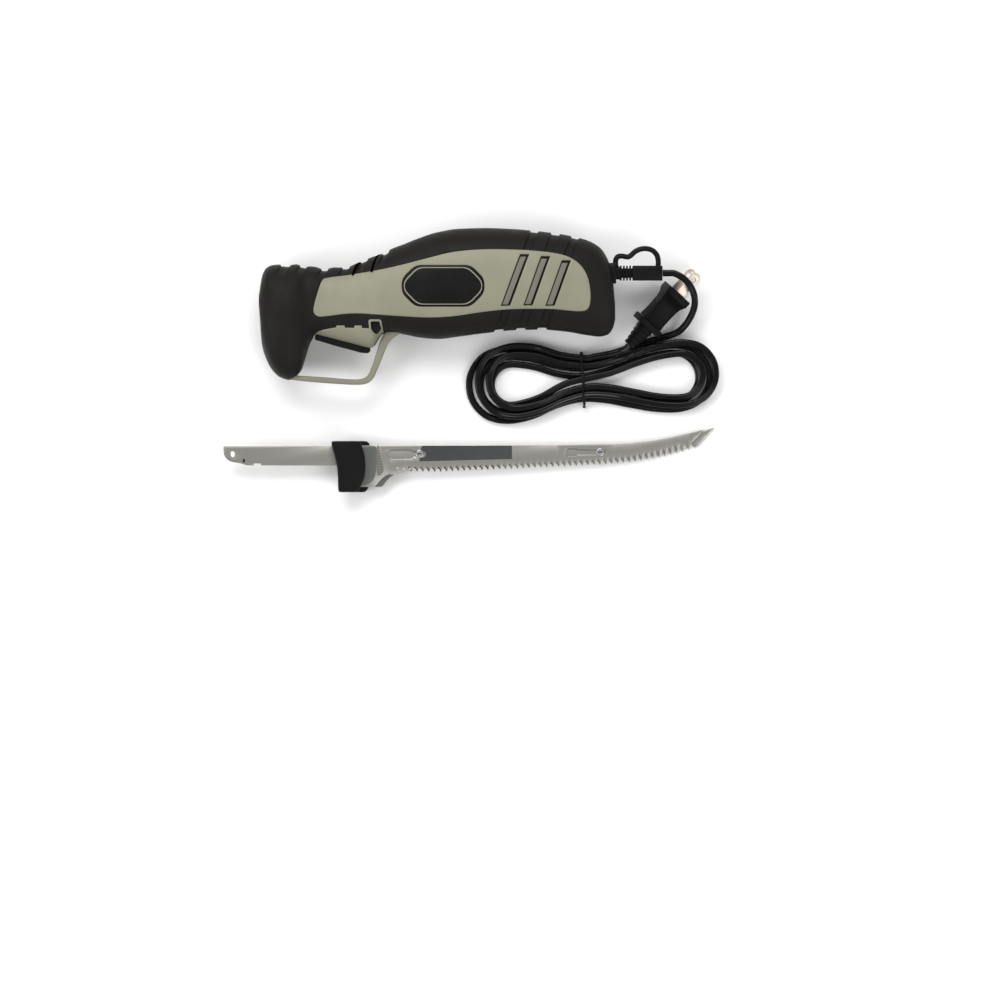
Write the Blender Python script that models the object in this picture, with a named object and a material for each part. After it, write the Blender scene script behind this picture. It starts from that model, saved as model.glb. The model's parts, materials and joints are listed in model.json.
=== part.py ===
"""Electric fillet knife lying on its side, with its blade pair beside it and its cord in a hank.

Lengths are in metres: a value in millimetres is written as a number times MM.
+X runs from the handle's nose to its cord end, +Y up the handle, +Z up from the floor.
The handle's pieces are made in the handle's own frame, in which x is 0 at the nose, y is 0 on the
blade line and z is 0 at the parting plane. The blades' pieces are made in the blade frame.
"""

import math

import bmesh
import bpy
import numpy as np
from mathutils import Matrix, Vector

MM = 0.001

# Clearances
GAP = 0.3 * MM
HALF_GAP = 0.15 * MM

# Handle outline, seen from the side: station along the handle, top edge, bottom edge, half width
HANDLE_PROFILE_MM = [
    (0.0, -1.0, -9.0, 14.0),
    (2.0, 11.2, -34.3, 17.5),
    (5.0, 16.6, -44.0, 20.5),
    (9.0, 18.4, -51.2, 22.3),
    (14.0, 18.8, -55.6, 23.0),
    (20.0, 18.4, -57.4, 22.8),
    (24.5, 19.0, -54.8, 21.5),
    (28.0, 18.0, -51.0, 19.8),
    (31.0, 17.4, -42.0, 18.2),
    (34.0, 17.6, -32.5, 17.2),
    (37.5, 17.2, -27.0, 16.6),
    (43.0, 15.6, -28.3, 16.3),
    (50.0, 17.0, -30.4, 16.4),
    (57.0, 16.8, -32.4, 16.8),
    (64.0, 19.4, -34.4, 17.4),
    (70.0, 22.2, -35.9, 18.0),
    (74.0, 24.2, -37.2, 18.5),
    (77.0, 25.3, -34.0, 18.9),
    (79.4, 25.9, -29.8, 19.1),
    (82.0, 26.2, -27.0, 19.4),
    (88.0, 29.4, -26.2, 20.0),
    (96.0, 32.4, -27.4, 20.8),
    (106.0, 36.4, -29.4, 21.6),
    (118.0, 40.2, -30.4, 22.4),
    (132.0, 42.4, -28.8, 22.9),
    (150.0, 42.9, -26.4, 23.0),
    (168.0, 42.2, -24.6, 22.8),
    (186.0, 40.6, -24.2, 22.2),
    (203.0, 38.2, -25.6, 21.2),
    (216.0, 35.0, -27.8, 20.2),
    (224.5, 30.4, -28.8, 19.0),
    (230.0, 22.6, -27.6, 17.6),
    (233.4, 10.0, -23.6, 15.6),
    (235.0, -7.0, -18.0, 13.0),
]
SECTION_POWER = 2.5
SECTION_STEPS = 8
OVERMOLD_THICKNESS = 2.0 * MM
WALL_THICKNESS = 2.4 * MM

# Side panel, skirt and vents, seen from the side
PANEL_OUTLINE_MM = [
    (41.3, 7.9), (37.0, -6.5), (36.2, -10.0), (37.6, -14.2), (40.0, -15.8),
    (66.0, -13.2), (84.0, -14.6), (112.0, -16.0), (128.0, -15.2), (146.0, -12.0), (172.0, -9.6),
    (192.0, -9.6), (206.0, -11.0), (214.0, -11.9), (217.6, -10.0), (218.6, -5.0), (218.4, 3.0), (217.2, 9.4),
    (214.4, 14.8), (209.0, 20.0), (201.0, 24.0), (188.0, 26.6), (170.0, 28.2), (148.0, 28.5),
    (128.0, 27.2), (110.0, 22.6), (90.0, 17.4), (74.0, 14.2), (58.0, 11.4), (44.4, 10.2),
]
SKIRT_OUTLINE_MM = [
    (37.9, -26.6), (41.6, -24.6), (50.0, -22.4), (57.0, -22.0), (68.0, -22.2), (73.6, -25.4), (81.6, -25.2),
    (82.4, -46.0), (37.9, -46.0),
]
BADGE_CENTRE = (121.5 * MM, 4.6 * MM)
BADGE_LENGTH = 54.0 * MM
BADGE_HEIGHT = 27.0 * MM
BADGE_PROUD = 0.3 * MM
BADGE_DEPTH = 0.9 * MM
VENT_TOPS_MM = [(172.4, 25.8), (186.2, 24.6), (200.3, 22.4)]
VENT_FEET_MM = [(159.5, -8.9), (174.4, -8.6), (188.9, -8.9)]
VENT_WIDTH = 6.1 * MM
VENT_FACE_DEPTH = 2.0 * MM
SCREEN_THICKNESS = 1.0 * MM
VENT_INSIDE = 12.0 * MM
GROOVE_DEPTH = 1.3 * MM
GROOVE_WIDTH = 5.6 * MM
TOP_GROOVES_MM = [181.9, 195.9, 208.9]
BOTTOM_GROOVES_MM = [158.0, 172.4, 186.7]
GROOVE_LEAN = 0.36
GROOVE_REACH = 9.0 * MM
FRONT_GROOVE_REACH = 4.4 * MM
FRONT_GROOVES_MM = [25.6, 36.6, 50.4, 64.0, 76.6]
FRONT_GROOVE_WIDTH = 1.6 * MM

# Blade port in the nose
PORT_HEIGHT = 19.0 * MM
PORT_WIDTH = 11.0 * MM
PORT_RIM = 1.6 * MM
PORT_DEPTH = 9.0 * MM

# Motor, on its own axis line
MOTOR_AXIS_Y = 8.0 * MM
SHAFT_RADIUS = 2.5 * MM
STATOR_START = 142.0 * MM
STATOR_LENGTH = 26.0 * MM
STATOR_END = STATOR_START + STATOR_LENGTH
STATOR_WIDTH = 29.4 * MM
STATOR_HEIGHT = 34.0 * MM
ARMATURE_RADIUS = 10.0 * MM
AIR_GAP = 0.5 * MM
WINDING_OVERHANG = 4.6 * MM
COIL_WIRE_RADIUS = 1.8 * MM
COIL_END_REACH = 3.0 * MM
COMMUTATOR_START = STATOR_END + 7.0 * MM
COMMUTATOR_LENGTH = 9.0 * MM
COMMUTATOR_RADIUS = 6.0 * MM
BRUSH_SIZE = (5.0 * MM, 4.0 * MM, 5.0 * MM)
HOLDER_WALL = 1.0 * MM
HOLDER_TAIL = 4.6 * MM
HOLDER_STANDOFF = 1.5 * MM
BRUSH_SPRING_WIRE = 0.25 * MM
FAN_START = COMMUTATOR_START + COMMUTATOR_LENGTH + 3.5 * MM
FAN_WIDTH = 6.0 * MM
FAN_RADIUS = 14.0 * MM
FAN_HUB_RADIUS = 5.5 * MM
BEARING_RADIUS = 5.0 * MM
BEARING_LENGTH = 4.4 * MM
FRONT_BEARING_START = STATOR_START - 13.0 * MM
REAR_BEARING_START = FAN_START + FAN_WIDTH + 5.5 * MM
SHAFT_END = REAR_BEARING_START + BEARING_LENGTH + 3.6 * MM

# Worm drive
WORM_CENTRE_X = STATOR_START - 30.0 * MM
GEAR_TEETH = 24
GEAR_PITCH_RADIUS = 12.0 * MM
WORM_PITCH_RADIUS = 4.0 * MM
TOOTH_ADDENDUM = 0.75 * MM
TOOTH_DEDENDUM = 1.35 * MM
WORM_TURNS = 4
THREAD_CREST_SHARE = 0.07
THREAD_ROOT_SHARE = 0.24
WORM_STEPS = 7
WORM_SIDES = 12
GEAR_THICKNESS = 4.0 * MM
GEAR_AXLE_RADIUS = 2.0 * MM
AXLE_HALF = 12.0 * MM
ECCENTRIC = 4.0 * MM
CAM_RADIUS = 7.0 * MM
CAM_THICKNESS = 1.2 * MM
CAM_CLEARANCE = 0.4 * MM

# Drivers, each a flat bar with a yoke behind and a blade socket in front
DRIVER_FRONT = 15.0 * MM
DRIVER_THICKNESS = 2.0 * MM
DRIVER_HEIGHT = 8.0 * MM
SOCKET_LENGTH = 16.0 * MM
YOKE_ARM = 2.5 * MM
GUIDE_RIBS_MM = [35.0, 84.0]
RIB_THICKNESS = 3.0 * MM

# Trigger, switch and lock
TRIGGER_PIVOT = (42.0 * MM, -23.4 * MM)
TRIGGER_PIN_RADIUS = 1.2 * MM
TRIGGER_WIDTH = 12.0 * MM
TRIGGER_TRAVEL_DEG = 5.5
TRIGGER_SLOT = (35.9 * MM, 76.2 * MM)
SPRING_COIL_RADIUS = 2.2 * MM
SPRING_WIRE = 0.3 * MM
SPRING_RECESS = 2.6 * MM
PIN_HALF = 7.9 * MM
TRIGGER_OUTLINE_MM = [
    (37.8, -24.0), (39.2, -20.9), (44.0, -19.9), (62.0, -20.6), (70.0, -25.0), (73.0, -31.0), (73.6, -38.2),
    (72.2, -39.8), (68.0, -39.6), (52.0, -35.4), (42.0, -32.6), (37.2, -31.2),
]
SWITCH_SIZE = (17.0 * MM, 9.0 * MM, 13.0 * MM)
SWITCH_CORNER = (49.0 * MM, -17.2 * MM)
PLUNGER_X = 58.0 * MM
PLUNGER_SIZE = (4.0 * MM, 5.0 * MM)
PLUNGER_TRAVEL = (PLUNGER_X - TRIGGER_PIVOT[0]) * math.radians(TRIGGER_TRAVEL_DEG)
LOCK_OUTLINE_MM = [(72.6, -17.0), (80.4, -17.0), (80.8, -22.0), (76.6, -26.2), (72.2, -22.0)]
LOCK_LENGTH = 25.0 * MM
LOCK_TRAVEL = 3.0 * MM
LOCK_RECESS = 2.2 * MM

# Trigger guard
GUARD_OUTER_MM = [(18.0, -56.8), (29.0, -58.2), (44.0, -59.5), (56.0, -60.3), (64.5, -60.6), (70.6, -59.9),
                  (75.0, -56.9), (78.3, -50.3), (82.7, -39.4), (85.4, -33.3), (89.3, -29.2), (94.5, -26.2)]
GUARD_INNER_MM = [(86.0, -20.0), (82.4, -27.0), (79.4, -33.3), (75.4, -45.9), (72.5, -53.2), (69.4, -56.0),
                  (64.1, -57.0), (55.3, -56.6), (42.2, -55.5), (24.7, -54.4), (18.0, -53.6)]
GUARD_WIDTH = 11.0 * MM

# Housing screws, driven in from the right side: station and height
SCREWS_MM = [(20.0, -42.0), (92.0, 20.0), (214.0, -18.0), (211.0, 25.0)]
SCREW_RADIUS = 1.3 * MM
SCREW_HEAD_RADIUS = 2.6 * MM
SCREW_HEAD_HEIGHT = 1.8 * MM
SCREW_REACH = 7.0 * MM
BOSS_RADIUS = 3.4 * MM

# Strain relief and its hanging loop
CORD_EXIT_Y = 13.1 * MM
RELIEF_RADIUS = 4.9 * MM
RELIEF_NECK_RADIUS = 3.6 * MM
RELIEF_FLANGE_RADIUS = 7.2 * MM
RELIEF_END = 266.3 * MM
RELIEF_ANCHOR_INSIDE = 12.0 * MM
RELIEF_ANCHOR_WIDTH = 2.0 * MM
RELIEF_ANCHOR_RADIUS = 5.4 * MM
RELIEF_FLANGE_REACH = 1.2 * MM
RELIEF_RIB_START = 3.6 * MM
RELIEF_RIB_PITCH = 2.8 * MM
LOOP_RADIUS = 1.7 * MM
LOOP_PATH_MM = [(235.8, 16.0), (235.3, 20.6), (236.4, 23.6), (239.4, 24.4), (243.0, 23.8), (245.4, 24.8),
                (247.8, 27.0), (251.2, 28.8), (255.2, 29.3), (259.2, 28.3), (262.2, 25.6), (263.4, 21.8),
                (263.5, 16.0)]

# Blade pair
BLADE_THICKNESS = 1.1 * MM
BLADE_GAP = 0.35 * MM
HILT_HEIGHT = 8.0 * MM
HILT_OUTLINE_MM = [(71.1, 9.2), (88.6, 9.2), (92.0, 3.0), (93.2, -6.6), (91.5, -18.0), (89.3, -24.4),
                   (76.1, -24.4), (75.0, -15.0), (73.0, -3.0), (71.5, 7.2)]
BLADE_STAGGER = 5.9 * MM
TOOTH_PITCH = 3.9 * MM
TOOTH_DEPTH = 2.3 * MM
TEETH_START = 120.2 * MM
TEETH_END = 306.0 * MM
BLADE_BACK_MM = [(317.4, 16.7), (305.3, 14.0), (289.5, 10.7), (273.8, 8.5), (257.9, 7.4), (215.0, 6.6),
                 (101.2, 6.2), (71.0, 6.2), (0.8, 6.2), (0.0, 5.4)]
BLADE_TANG_MM = [(0.2, 0.5), (2.4, -2.9), (5.8, -4.6), (11.4, -5.5), (15.6, -6.9), (20.2, -6.9), (20.2, -5.6),
                 (24.9, -5.6), (24.9, -6.9), (71.0, -6.9), (87.0, -6.9), (87.0, -21.1), (98.8, -21.1),
                 (101.0, -19.9), (102.6, -17.8), (105.0, -15.2), (109.4, -12.5), (113.3, -11.4)]
BLADE_EDGE_MM = [(120.0, -10.8), (136.8, -11.2), (183.0, -9.4), (249.0, -6.2), (268.5, -4.2), (283.2, -1.5),
                 (295.9, 1.7), (306.0, 5.0)]
BLADE_TIP_MM = [(313.7, 8.0), (316.4, 12.0)]
TANG_HOLE = (6.1 * MM, 0.5 * MM)
TANG_HOLE_RADIUS = 1.6 * MM
RIVETS_MM = [(129.6, 0.7), (249.0, 1.9)]
RIVET_SHANK_RADIUS = 1.4 * MM
RIVET_HEAD_RADIUS = 2.6 * MM
RIVET_HEAD_HEIGHT = 0.7 * MM
BLADE_BACKWARD = 2.0 * MM
BLADE_FORWARD = 14.0 * MM
REAR_BLADE_Z = HILT_HEIGHT + GAP
FRONT_BLADE_Z = REAR_BLADE_Z + BLADE_THICKNESS + BLADE_GAP
FRONT_HILT_Z = FRONT_BLADE_Z + BLADE_THICKNESS + GAP

# How the pieces lie: the handle's place beside the blade pair
NOSE_FROM_TANG_END = 24.0 * MM
BLADES_BELOW_HANDLE = 106.9 * MM

# Cord, plug and hank: routes are world points; the hank is drawn about its own centre
CORD_DIAMETER = 4.2 * MM
HANK_CENTRE = (84.5 * MM, -12.6 * MM)
HANK_TILT_DEG = 3.2
HANK_LAYER_SHIFT = (5.0 * MM, 2.0 * MM)
HANK_HALF_RUN = 53.0 * MM
HANK_FAN = 0.44
HANK_FOLD_RADIUS = 12.8 * MM
HANK_STEP = 5.15 * MM
HANK_CROSSING_STEP = 2.0 * MM
HANK_CROSSING_REACH = 30.0 * MM
HANK_DRAW_IN = 11.0 * MM
HANK_TIE_X = -8.6 * MM
HANK_LAYER_RISE = 4.8 * MM
HANK_LOOP_POINTS = 24
HANK_RUN_POINTS = 7
HANK_START_TURN = 1 / HANK_LOOP_POINTS
HANK_END_TURN = 1 + 15 / HANK_LOOP_POINTS
HANK_EXIT_DEG = 9.0
RUN_SHARE = HANK_RUN_POINTS / HANK_LOOP_POINTS
HALF_SHARE = 0.5
HANK_LIFT = 0.1 * MM
LEAD_ROUTE_MM = [(136.6, 57.0, 23.2), (142.6, 53.6, 23.8), (147.0, 48.4, 24.0), (149.4, 42.0, 23.4),
                 (149.4, 35.0, 20.2), (146.6, 27.8, 14.4), (142.0, 21.4, 8.4), (136.8, 17.6, 4.0)]
TAIL_ROUTE_MM = [(91.0, 3.5, 7.8), (95.8, 4.6, 9.9), (100.4, 5.8, 12.1)]
PLUG_REAR_MM = (106.4, 9.8, 12.9)
PLUG_HEADING_DEG = 47.5
PLUG_ROLL_DEG = 71.5
PLUG_SECTIONS_MM = [
    (0.0, 7.0, 7.0, 2.2), (1.2, 8.0, 8.0, 2.4), (15.5, 9.6, 9.6, 2.8), (16.5, 19.6, 18.6, 2.2),
    (20.5, 19.6, 18.6, 2.2), (21.2, 14.0, 14.8, 2.2), (30.0, 13.2, 14.4, 2.2), (38.5, 13.8, 14.8, 2.2),
    (42.8, 19.4, 18.0, 2.2), (47.5, 19.8, 18.2, 2.2),
]
PRONG_SPACING = 12.7 * MM
PRONG_WIDTH = 6.35 * MM
PRONG_THICKNESS = 1.5 * MM
PRONG_LENGTH = 17.5 * MM
TIE_THICKNESS = 1.2 * MM
TIE_WIDTH = 5.0 * MM

SIDES = {"left": 1, "right": -1}

# Worked out from the above
HOUSING_DEPTH = OVERMOLD_THICKNESS + GAP
INNER_DEPTH = HOUSING_DEPTH + WALL_THICKNESS
GEAR_CENTRE_Y = MOTOR_AXIS_Y - GEAR_PITCH_RADIUS - WORM_PITCH_RADIUS
TOOTH_MODULE = 2 * GEAR_PITCH_RADIUS / GEAR_TEETH
WORM_PITCH = math.pi * TOOTH_MODULE
DRIVER_Z = GEAR_THICKNESS / 2 + CAM_THICKNESS + GAP
FAR = 40.0 * MM


def material(name, colour, roughness, metallic=0.0):
    made = bpy.data.materials.new(name)
    made.use_nodes = True
    shader = made.node_tree.nodes["Principled BSDF"]
    shader.inputs["Base Color"].default_value = (*colour, 1.0)
    shader.inputs["Roughness"].default_value = roughness
    shader.inputs["Metallic"].default_value = metallic
    return made


def clear_scene():
    for old in list(bpy.data.objects):
        bpy.data.objects.remove(old, do_unlink=True)


def make_materials():
    return {
        "overmold": material("overmold_rubber", (0.012, 0.012, 0.012), 0.6),
        "shell": material("shell_plastic", (0.36, 0.34, 0.26), 0.5),
        "mesh": material("screen_mesh", (0.16, 0.15, 0.13), 0.5),
        "black": material("black_plastic", (0.014, 0.014, 0.014), 0.5),
        "cord": material("cord_rubber", (0.01, 0.01, 0.01), 0.3),
        "steel": material("blade_steel", (0.45, 0.44, 0.40), 0.35, 1.0),
        "bright": material("bright_steel", (0.5, 0.5, 0.5), 0.25, 1.0),
        "iron": material("lamination_steel", (0.2, 0.2, 0.2), 0.5, 1.0),
        "copper": material("copper_wire", (0.6, 0.25, 0.1), 0.35, 1.0),
        "brass": material("brass", (0.8, 0.68, 0.42), 0.3, 1.0),
        "carbon": material("carbon", (0.02, 0.02, 0.02), 0.7),
        "nylon": material("white_nylon", (0.75, 0.74, 0.7), 0.5),
    }


def link(name, mesh, parent=None, finish=None):
    made = bpy.data.objects.new(name, mesh)
    bpy.context.scene.collection.objects.link(made)
    made.parent = parent
    if finish is not None:
        mesh.materials.clear()
        mesh.materials.append(finish)
    return made


def mesh_from(name, points, faces, smooth=True):
    shape = bmesh.new()
    corners = [shape.verts.new(p) for p in points]
    for face in faces:
        shape.faces.new([corners[i] for i in face])
    bmesh.ops.recalc_face_normals(shape, faces=shape.faces)
    mesh = bpy.data.meshes.new(name)
    shape.to_mesh(mesh)
    shape.free()
    if smooth:
        mesh.shade_smooth()
        mesh.set_sharp_from_angle(angle=math.radians(35))
    return mesh


def prism_mesh(name, outline, low, high):
    """A side outline in x and y, standing from z low to z high."""
    count = len(outline)
    points = [(x, y, z) for z in (low, high) for x, y in outline]
    faces = [tuple(range(count)), tuple(range(count, 2 * count))]
    faces += [(i, (i + 1) % count, count + (i + 1) % count, count + i) for i in range(count)]
    return mesh_from(name, points, faces, smooth=False)


def box_mesh(name, low, high):
    outline = [(low[0], low[1]), (high[0], low[1]), (high[0], high[1]), (low[0], high[1])]
    return prism_mesh(name, outline, low[2], high[2])


def circle(centre, radius, sides, start=0.0):
    angles = [start + 2 * math.pi * i / sides for i in range(sides)]
    return [(centre[0] + radius * math.cos(angle), centre[1] + radius * math.sin(angle)) for angle in angles]


def turned_mesh(name, profile, sides, start=(0, 0, 0), axis="X"):
    """A closed profile of (along, radius) pairs turned about an axis through start."""
    points = []
    for i in range(sides):
        angle = 2 * math.pi * i / sides
        for along, radius in profile:
            across = (radius * math.cos(angle), radius * math.sin(angle))
            offset = (along, *across) if axis == "X" else (*across, along)
            points.append(tuple(s + o for s, o in zip(start, offset)))
    count = len(profile)
    faces = []
    for i in range(sides):
        for j in range(count):
            here, over = i * count, ((i + 1) % sides) * count
            faces.append((here + j, here + (j + 1) % count, over + (j + 1) % count, over + j))
    return mesh_from(name, points, faces)


def rod_mesh(name, profile, sides, start=(0, 0, 0), axis="X"):
    """A solid turned body: rings of (along, radius) with flat ends."""
    points = []
    for along, radius in profile:
        for i in range(sides):
            angle = 2 * math.pi * i / sides
            across = (radius * math.cos(angle), radius * math.sin(angle))
            offset = (along, *across) if axis == "X" else (*across, along)
            points.append(tuple(s + o for s, o in zip(start, offset)))
    faces = [tuple(range(sides)), tuple(range(len(points) - sides, len(points)))]
    for j in range(len(profile) - 1):
        for i in range(sides):
            k = (i + 1) % sides
            faces.append((j * sides + i, j * sides + k, (j + 1) * sides + k, (j + 1) * sides + i))
    return mesh_from(name, points, faces)


def tube_mesh(name, path, radius, sides=6, closed=False):
    """A round tube along points, with flat ends or joined into a ring."""
    path = [Vector(p) for p in path]
    count = len(path)
    points = []
    normal = None
    for i, here in enumerate(path):
        before = path[i - 1] if (closed or i > 0) else here
        after = path[(i + 1) % count] if (closed or i < count - 1) else here
        along = (after - before).normalized()
        if normal is None:
            normal = along.orthogonal()
        normal = (normal - along * normal.dot(along)).normalized()
        side = along.cross(normal)
        for k in range(sides):
            angle = 2 * math.pi * k / sides
            points.append(here + radius * (math.cos(angle) * normal + math.sin(angle) * side))
    faces = []
    for i in range(count if closed else count - 1):
        for k in range(sides):
            a, b = i * sides, ((i + 1) % count) * sides
            faces.append((a + k, a + (k + 1) % sides, b + (k + 1) % sides, b + k))
    if not closed:
        faces += [tuple(range(sides)), tuple(range((count - 1) * sides, count * sides))]
    return mesh_from(name, points, faces)


def hide(cutter):
    cutter.hide_render = True
    cutter.display_type = "WIRE"
    return cutter


def combine(target, other, operation):
    step = target.modifiers.new(operation.lower(), "BOOLEAN")
    step.operation = operation
    step.object = hide(other)
    return target


def cut(target, *cutters):
    for cutter in cutters:
        combine(target, cutter, "DIFFERENCE")
    return target


def fuse(target, *others):
    for other in others:
        combine(target, other, "UNION")
    return target


def set_origin(piece, point):
    """Move a piece's origin to a point of its parent's frame, with its shape left in place."""
    piece.data.transform(Matrix.Translation(-Vector(point)))
    piece.location = point
    return piece


def in_metres(values):
    """Millimetre numbers, or points of them, in metres."""
    return [tuple(v * MM for v in value) if isinstance(value, tuple) else value * MM for value in values]


class Profile:
    """One edge of the handle against the station along it, smooth through its knots."""

    def __init__(self, column, shrink):
        self.x = np.array([row[0] for row in HANDLE_PROFILE_MM]) * MM
        self.y = np.array([row[column] for row in HANDLE_PROFILE_MM]) * MM
        self.shrink = shrink
        step = np.diff(self.y) / np.diff(self.x)
        slope = np.concatenate(([step[0]], (step[1:] + step[:-1]) / 2, [step[-1]]))
        for i in range(1, len(slope) - 1):
            if step[i - 1] * step[i] <= 0:
                slope[i] = 0.0
            else:
                slope[i] = 2 * step[i - 1] * step[i] / (step[i - 1] + step[i])
        self.slope = slope

    def at(self, x):
        i = int(np.clip(np.searchsorted(self.x, x) - 1, 0, len(self.x) - 2))
        span = self.x[i + 1] - self.x[i]
        t = (x - self.x[i]) / span
        return (
            (2 * t**3 - 3 * t**2 + 1) * self.y[i]
            + (t**3 - 2 * t**2 + t) * span * self.slope[i]
            + (3 * t**2 - 2 * t**3) * self.y[i + 1]
            + (t**3 - t**2) * span * self.slope[i + 1]
        )

    def inset(self, x, depth):
        """The edge of the outline that lies depth inside this one, or outside it for a depth below zero."""
        way, reach = (1, depth) if depth > 0 else (-1, -depth)
        values = []
        for t in np.linspace(-reach, reach, 41):
            near = float(np.clip(x + t, self.x[0], self.x[-1]))
            values.append(self.shrink * self.at(near) - way * math.sqrt(max(reach**2 - t**2, 0.0)))
        return self.shrink * (min(values) if way > 0 else max(values))


TOP = Profile(1, 1)
BOTTOM = Profile(2, -1)
HALF_WIDTH = Profile(3, 1)
NOSE_X = TOP.x[0]
TAIL_X = TOP.x[-1]
END_ZONE = 14.0 * MM
HANDLE_HALF_WIDTH = float(HALF_WIDTH.y.max())
HANDLE_TOP_Y = float(TOP.y.max())


def section(x, depth):
    """Centre height, half height and half width of the handle's section, depth inside its surface."""
    top = TOP.inset(x, depth)
    bottom = BOTTOM.inset(x, depth)
    return (top + bottom) / 2, max((top - bottom) / 2, 0.5 * MM), max(HALF_WIDTH.inset(x, depth), 0.5 * MM)


def station(x, depth):
    """A station's place on the surface that lies depth inside: the two ends draw in."""
    shift = depth * max(0.0, 1 - (x - NOSE_X) / END_ZONE) - depth * max(0.0, 1 - (TAIL_X - x) / END_ZONE)
    return x + shift


def side_z(x, y, depth):
    """Half width of the handle at a height, depth inside its surface."""
    centre, half_height, half_width = section(x, depth)
    ratio = min(abs((y - centre) / half_height), 0.999)
    return half_width * (1 - ratio**SECTION_POWER) ** (1 / SECTION_POWER)


def half_surface(depth, side, seam):
    """Rows of points over one half of the handle, from the top edge round to the bottom edge."""
    rows = []
    for knot in TOP.x:
        x = station(float(knot), depth)
        centre, half_height, half_width = section(x, depth)
        row = []
        for j in range(SECTION_STEPS + 1):
            angle = math.pi / 2 - math.pi * j / SECTION_STEPS
            up, out = math.sin(angle), max(math.cos(angle), 0.0)
            y = centre + half_height * math.copysign(abs(up) ** (2 / SECTION_POWER), up)
            z = max(half_width * out ** (2 / SECTION_POWER), seam)
            row.append((x, y, side * z))
        rows.append(row)
    return rows


def skin_mesh(name, outer_depth, inner_depth, side, seam=HALF_GAP):
    """A closed half shell between two depths, open at the parting plane."""
    outer = half_surface(outer_depth, side, seam)
    inner = half_surface(inner_depth, side, seam)
    rows, columns = len(outer), len(outer[0])
    points = [p for layer in (outer, inner) for row in layer for p in row]
    lift = rows * columns
    faces = []
    for base in (0, lift):
        for i in range(rows - 1):
            for j in range(columns - 1):
                a = base + i * columns + j
                faces.append((a, a + 1, a + columns + 1, a + columns))
        faces.append(tuple(base + j for j in range(columns)))
        faces.append(tuple(base + (rows - 1) * columns + j for j in range(columns)))
    for j in (0, columns - 1):
        for i in range(rows - 1):
            a = i * columns + j
            faces.append((a, a + columns, lift + a + columns, lift + a))
    for i in (0, rows - 1):
        a, b = i * columns, i * columns + columns - 1
        faces.append((a, b, lift + b, lift + a))
    return mesh_from(name, points, faces)


def whole_mesh(name, depth):
    """The handle's full closed body at a depth, used to shape what meets it."""
    points = []
    steps = 2 * SECTION_STEPS
    for knot in TOP.x:
        x = station(float(knot), depth)
        centre, half_height, half_width = section(x, depth)
        for j in range(steps):
            angle = 2 * math.pi * j / steps
            up, out = math.sin(angle), math.cos(angle)
            y = centre + half_height * math.copysign(abs(up) ** (2 / SECTION_POWER), up)
            z = half_width * math.copysign(abs(out) ** (2 / SECTION_POWER), out)
            points.append((x, y, z))
    rows = len(TOP.x)
    faces = [tuple(range(steps)), tuple(range((rows - 1) * steps, rows * steps))]
    for i in range(rows - 1):
        for j in range(steps):
            k = (j + 1) % steps
            faces.append((i * steps + j, i * steps + k, (i + 1) * steps + k, (i + 1) * steps + j))
    return mesh_from(name, points, faces)


def grown(outline, distance):
    """An outline moved outwards by a distance, corner by corner."""
    area = sum(a[0] * b[1] - b[0] * a[1] for a, b in zip(outline, outline[1:] + outline[:1]))
    turn = 1 if area > 0 else -1
    moved = []
    count = len(outline)
    for i in range(count):
        before, here, after = (Vector(outline[(i + k) % count]) for k in (-1, 0, 1))
        first, second = (here - before).normalized(), (after - here).normalized()
        out_first = Vector((first.y, -first.x)) * turn
        out_second = Vector((second.y, -second.x)) * turn
        middle = (out_first + out_second).normalized()
        moved.append(tuple(here + middle * distance / max(middle.dot(out_first), 0.5)))
    return moved


def rounded_box(centre, length, height, corner, lean=0.0):
    """A rectangle with cut corners, leaning by a share of its height."""
    half_l, half_h = length / 2, height / 2
    corners = [(half_l - corner, -half_h), (half_l, -half_h + corner), (half_l, half_h - corner),
               (half_l - corner, half_h), (-half_l + corner, half_h), (-half_l, half_h - corner),
               (-half_l, -half_h + corner), (-half_l + corner, -half_h)]
    return [(centre[0] + x + lean * y, centre[1] + y) for x, y in corners]


# Pieces of the handle

def slot_outline(index, distance=0.0):
    top_x, top_y = (v * MM for v in VENT_TOPS_MM[index])
    foot_x, foot_y = (v * MM for v in VENT_FEET_MM[index])
    outline = [(top_x, top_y), (foot_x, foot_y), (foot_x + VENT_WIDTH, foot_y), (top_x + VENT_WIDTH, top_y)]
    return grown(outline, distance) if distance else outline


def side_prism(name, outline, side, near, parent):
    """A side outline cut straight through one half, from near the parting plane outwards."""
    low, high = sorted((side * near, side * FAR))
    return hide(link(name, prism_mesh(name, outline, low, high), parent))


def skin_block(name, outline, outer_depth, inner_depth, side, parent, finish=None):
    """The part of a skin that lies inside a side outline."""
    block = link(name, skin_mesh(name, outer_depth, inner_depth, side), parent, finish)
    prism = side_prism(name + "_outline", outline, side, -FAR, parent)
    return combine(block, prism, "INTERSECT")


def rib_mesh(name, start, thickness, side):
    """A plate across one half of the cavity, which bites into the wall."""
    points = []
    for x in (start, start + thickness):
        centre, half_height, half_width = section(x, INNER_DEPTH - WALL_THICKNESS / 3)
        for j in range(SECTION_STEPS + 1):
            angle = math.pi / 2 - math.pi * j / SECTION_STEPS
            up, out = math.sin(angle), max(math.cos(angle), 0.0)
            y = centre + half_height * math.copysign(abs(up) ** (2 / SECTION_POWER), up)
            points.append((x, y, side * max(half_width * out ** (2 / SECTION_POWER), 2 * HALF_GAP)))
    count = SECTION_STEPS + 1
    faces = [tuple(range(count)), tuple(range(count, 2 * count))]
    faces += [(i, (i + 1) % count, count + (i + 1) % count, count + i) for i in range(count)]
    return mesh_from(name, points, faces, smooth=False)


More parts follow.
